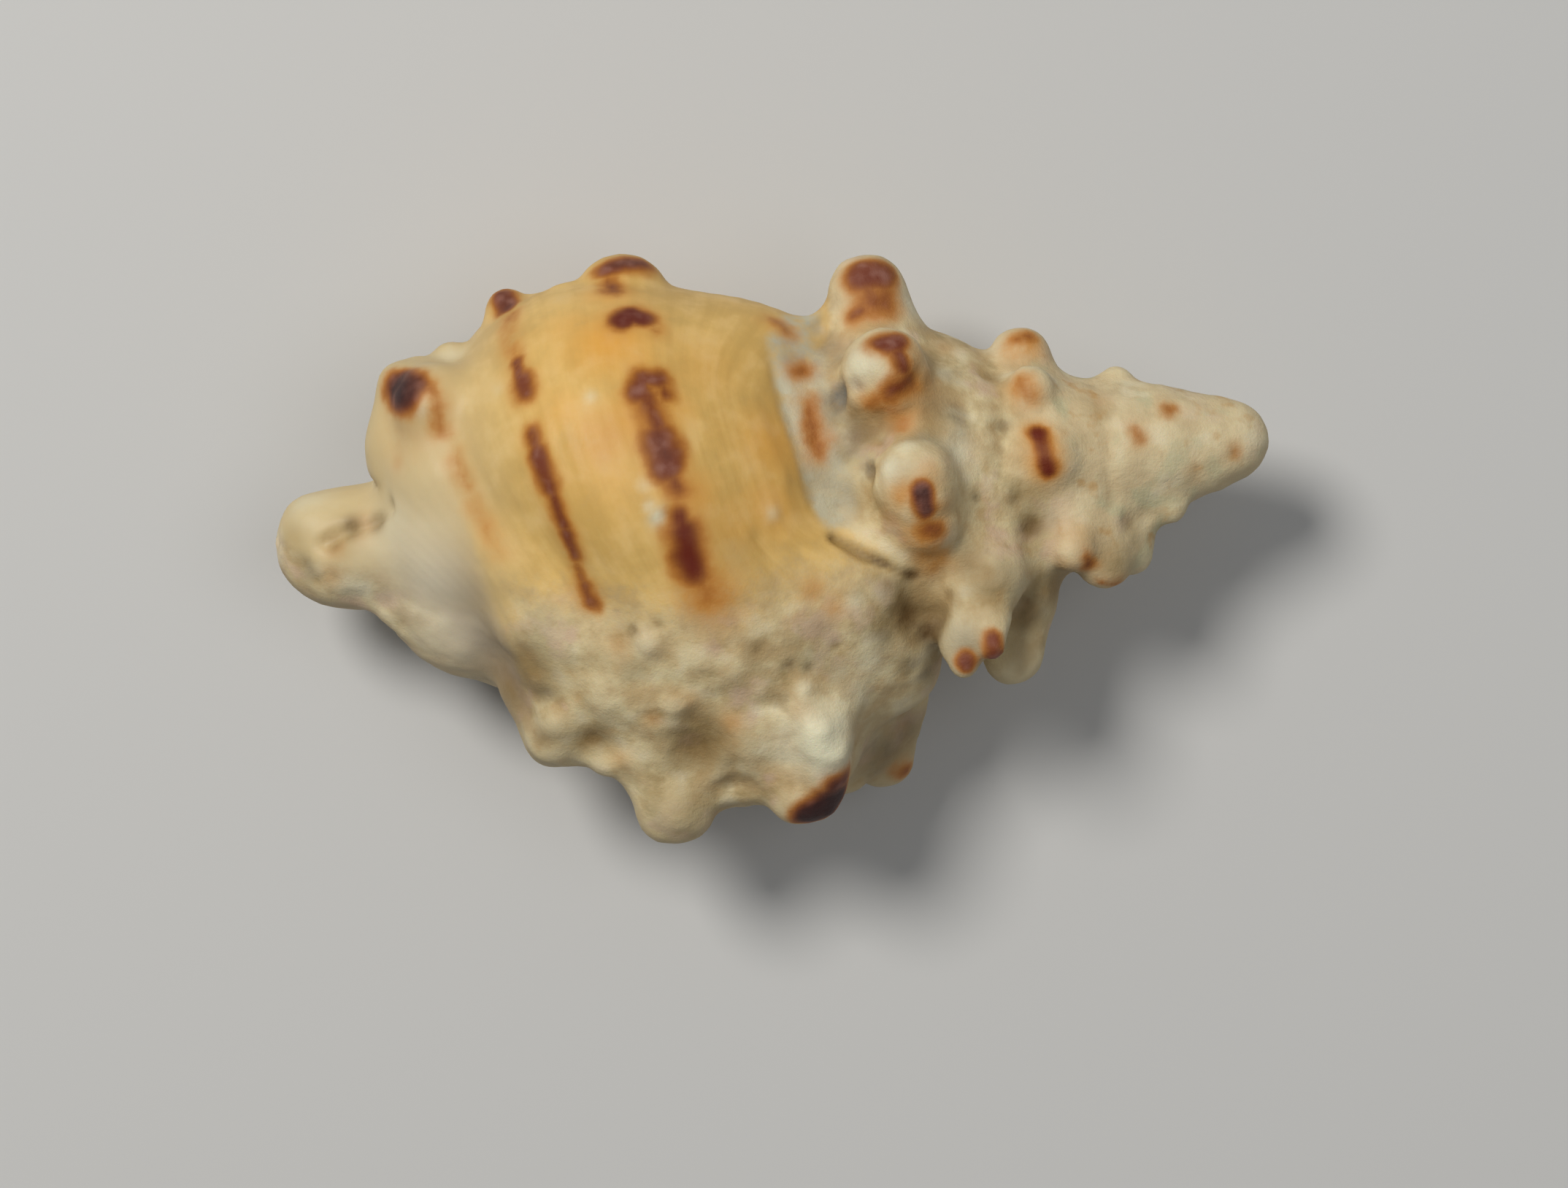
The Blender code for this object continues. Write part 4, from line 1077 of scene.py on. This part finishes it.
# stains and painted shade in the hollows and on the steep side turned from the light, then the orange and
# brown round the dashes
cover = kept("paint")
cover = cover + (middling * 0.7 + fine * 0.15) * (1.1 - cover) * cover.step(0.0, 0.3)
valley_dirt_and_shade = (kept("valley") + middling * 0.25 + fine * 0.1).step(0.08, 0.6)
ground = layered(
    ground,
    # silt and painted shade in the hollows, small and large
    ((middling * 0.03 - kept("crest")).step(0.01, 0.12) * (1.0 - glazed * 0.8) * 0.42, 140, 110, 66),
    ((kept("fine_crest") * -1.0).step(0.004, 0.03) * chalky * 0.28, 132, 102, 62),
    (valley_dirt_and_shade * chalky * 0.65, 134, 108, 72),
    # painted shade on the steep faces turned towards -Y
    (kept("sand_side") * (0.5 + middling), 156, 134, 96),
    # blue-grey, olive and brown silt, partly painted shade
    (kept("blue_silt") * (0.8 + middling * 1.5 + cloud(1.6) * 1.6), 116, 120, 118),
    (kept("olive_silt") * (0.9 + middling * 1.2), 130, 98, 38),
    (kept("brown_silt") * (0.9 + middling * 1.5), 92, 66, 30),
    (kept("bleed") * (0.8 + middling * 2.0) * 0.8, 214, 150, 66),
    (cover.step(0.0, 0.6) * 0.9, 190, 120, 42),
    (cover.step(0.25, 0.95) * 0.95, 140, 74, 24),
)

# the dashes go from red-brown to purple-black, the middle tones mottled with pink
purple = kept("tone")
pinkish = (fine * 0.6 + cloud(1.6, 1.0) * 1.8).step(-0.18, 0.6) * (purple * (1.0 - purple) * 2.7 + 0.04)
dash = layered(
    pigment(102, 22, 0),
    (purple * 2.0 + fine * 0.5 - middling, 126, 66, 46),
    (purple * 2.0 - 1.0 + middling, 52, 26, 28),
    (pinkish, 160, 112, 98),
)
ground = mixed(cover.step(0.45, 1.05) * 0.97, ground, dash)

rough = 0.64 - glazed * 0.14 + fine * 0.12 - callus_share * 0.2 - white * 0.12
grit = fine * 0.6 + cloud(8.0, 3.0, 0.7) * 0.4
grit = grit * (1.0 - glazed * 0.85 - callus_share * 0.8).act("MAXIMUM", 0.1)
bump = node(paint_tree, "ShaderNodeBump", {"Height": grit, "Strength": 0.5, "Distance": 0.00012})
for label, value in {
    "Base Color": ground,
    "Roughness": rough.act("MINIMUM", 0.85).act("MAXIMUM", 0.25),
    "Normal": bump.outputs[0],
    "Specular IOR Level": 0.35,
    "Subsurface Weight": 0.1,
    "Subsurface Radius": (1.0, 0.6, 0.3),
    "Subsurface Scale": 0.0005,
}.items():
    join(paint_tree, value, principled.inputs[label])

# the finished skin is brought to metres and kept just inside its size, so that its lowest edges are flat
# where the shell lies on the table
METRES = 0.001
CLEARANCE = 0.000001
low, high = (np.array(corner) for corner in cad_box)
places = np.clip(places * METRES, low + CLEARANCE, high - CLEARANCE)
skin.vertices.foreach_set("co", places.ravel())
skin.update()
skin.shade_smooth()
shell = added("shell_skin", skin)
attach(shell, "root")
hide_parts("shell")

# ------------------------------------------ the table, lights and camera
# A plain pale table top, two round studio lights held over it, and a long lens that looks straight down on
# the shell.

TABLE_REACH = 0.6
SHELL_MIDDLE = Vector((0.0, 0.0, 0.005))
AXIS_HEIGHT = 0.00695
PICTURE_WIDTH = 0.05686

corners = [(x * TABLE_REACH, y * TABLE_REACH, 0.0) for x, y in ((-1, -1), (1, -1), (1, 1), (-1, 1))]
table_mesh = bpy.data.meshes.new("table")
table_mesh.from_pydata(corners, [], [(0, 1, 2, 3)])
table = added("table", table_mesh)
table_finish = bpy.data.materials.new("table_top")
table_finish.use_nodes = True
table_paint = table_finish.node_tree.nodes["Principled BSDF"].inputs
table_paint["Base Color"].default_value = (0.62, 0.61, 0.59, 1.0)
table_paint["Roughness"].default_value = 0.6
table_mesh.materials.append(table_finish)


def soft_light(name, place, size, power, colour):
    """A round studio light that faces the shell."""
    data = bpy.data.lights.new(name, "AREA")
    data.shape = "DISK"
    data.size = size
    data.energy = power
    data.color = colour
    lamp = added(name, data)
    lamp.location = place
    lamp.rotation_euler = (SHELL_MIDDLE - Vector(place)).to_track_quat("-Z", "Y").to_euler()


soft_light("key", (-0.13, 0.15, 0.33), 0.13, 0.95, (1.0, 0.985, 0.95))
soft_light("fill", (0.15, -0.02, 0.38), 0.25, 0.20, (0.95, 0.97, 1.0))

world = bpy.data.worlds.new("studio")
world.use_nodes = True
bpy.context.scene.world = world
sky = world.node_tree.nodes["Background"].inputs
sky["Color"].default_value = (0.9, 0.95, 1.0, 1.0)
sky["Strength"].default_value = 0.16

lens = bpy.data.cameras.new("camera")
lens.lens = 110.0
lens.sensor_width = 36.0
lens.clip_start = 0.01
camera = added("camera", lens)
camera.location = (0.00007, -0.00213, AXIS_HEIGHT + PICTURE_WIDTH * lens.lens / lens.sensor_width)
camera.rotation_euler = (0.0, 0.0, math.radians(-6.0))
bpy.context.scene.camera = camera
bpy.context.scene.view_settings.view_transform = "Standard"
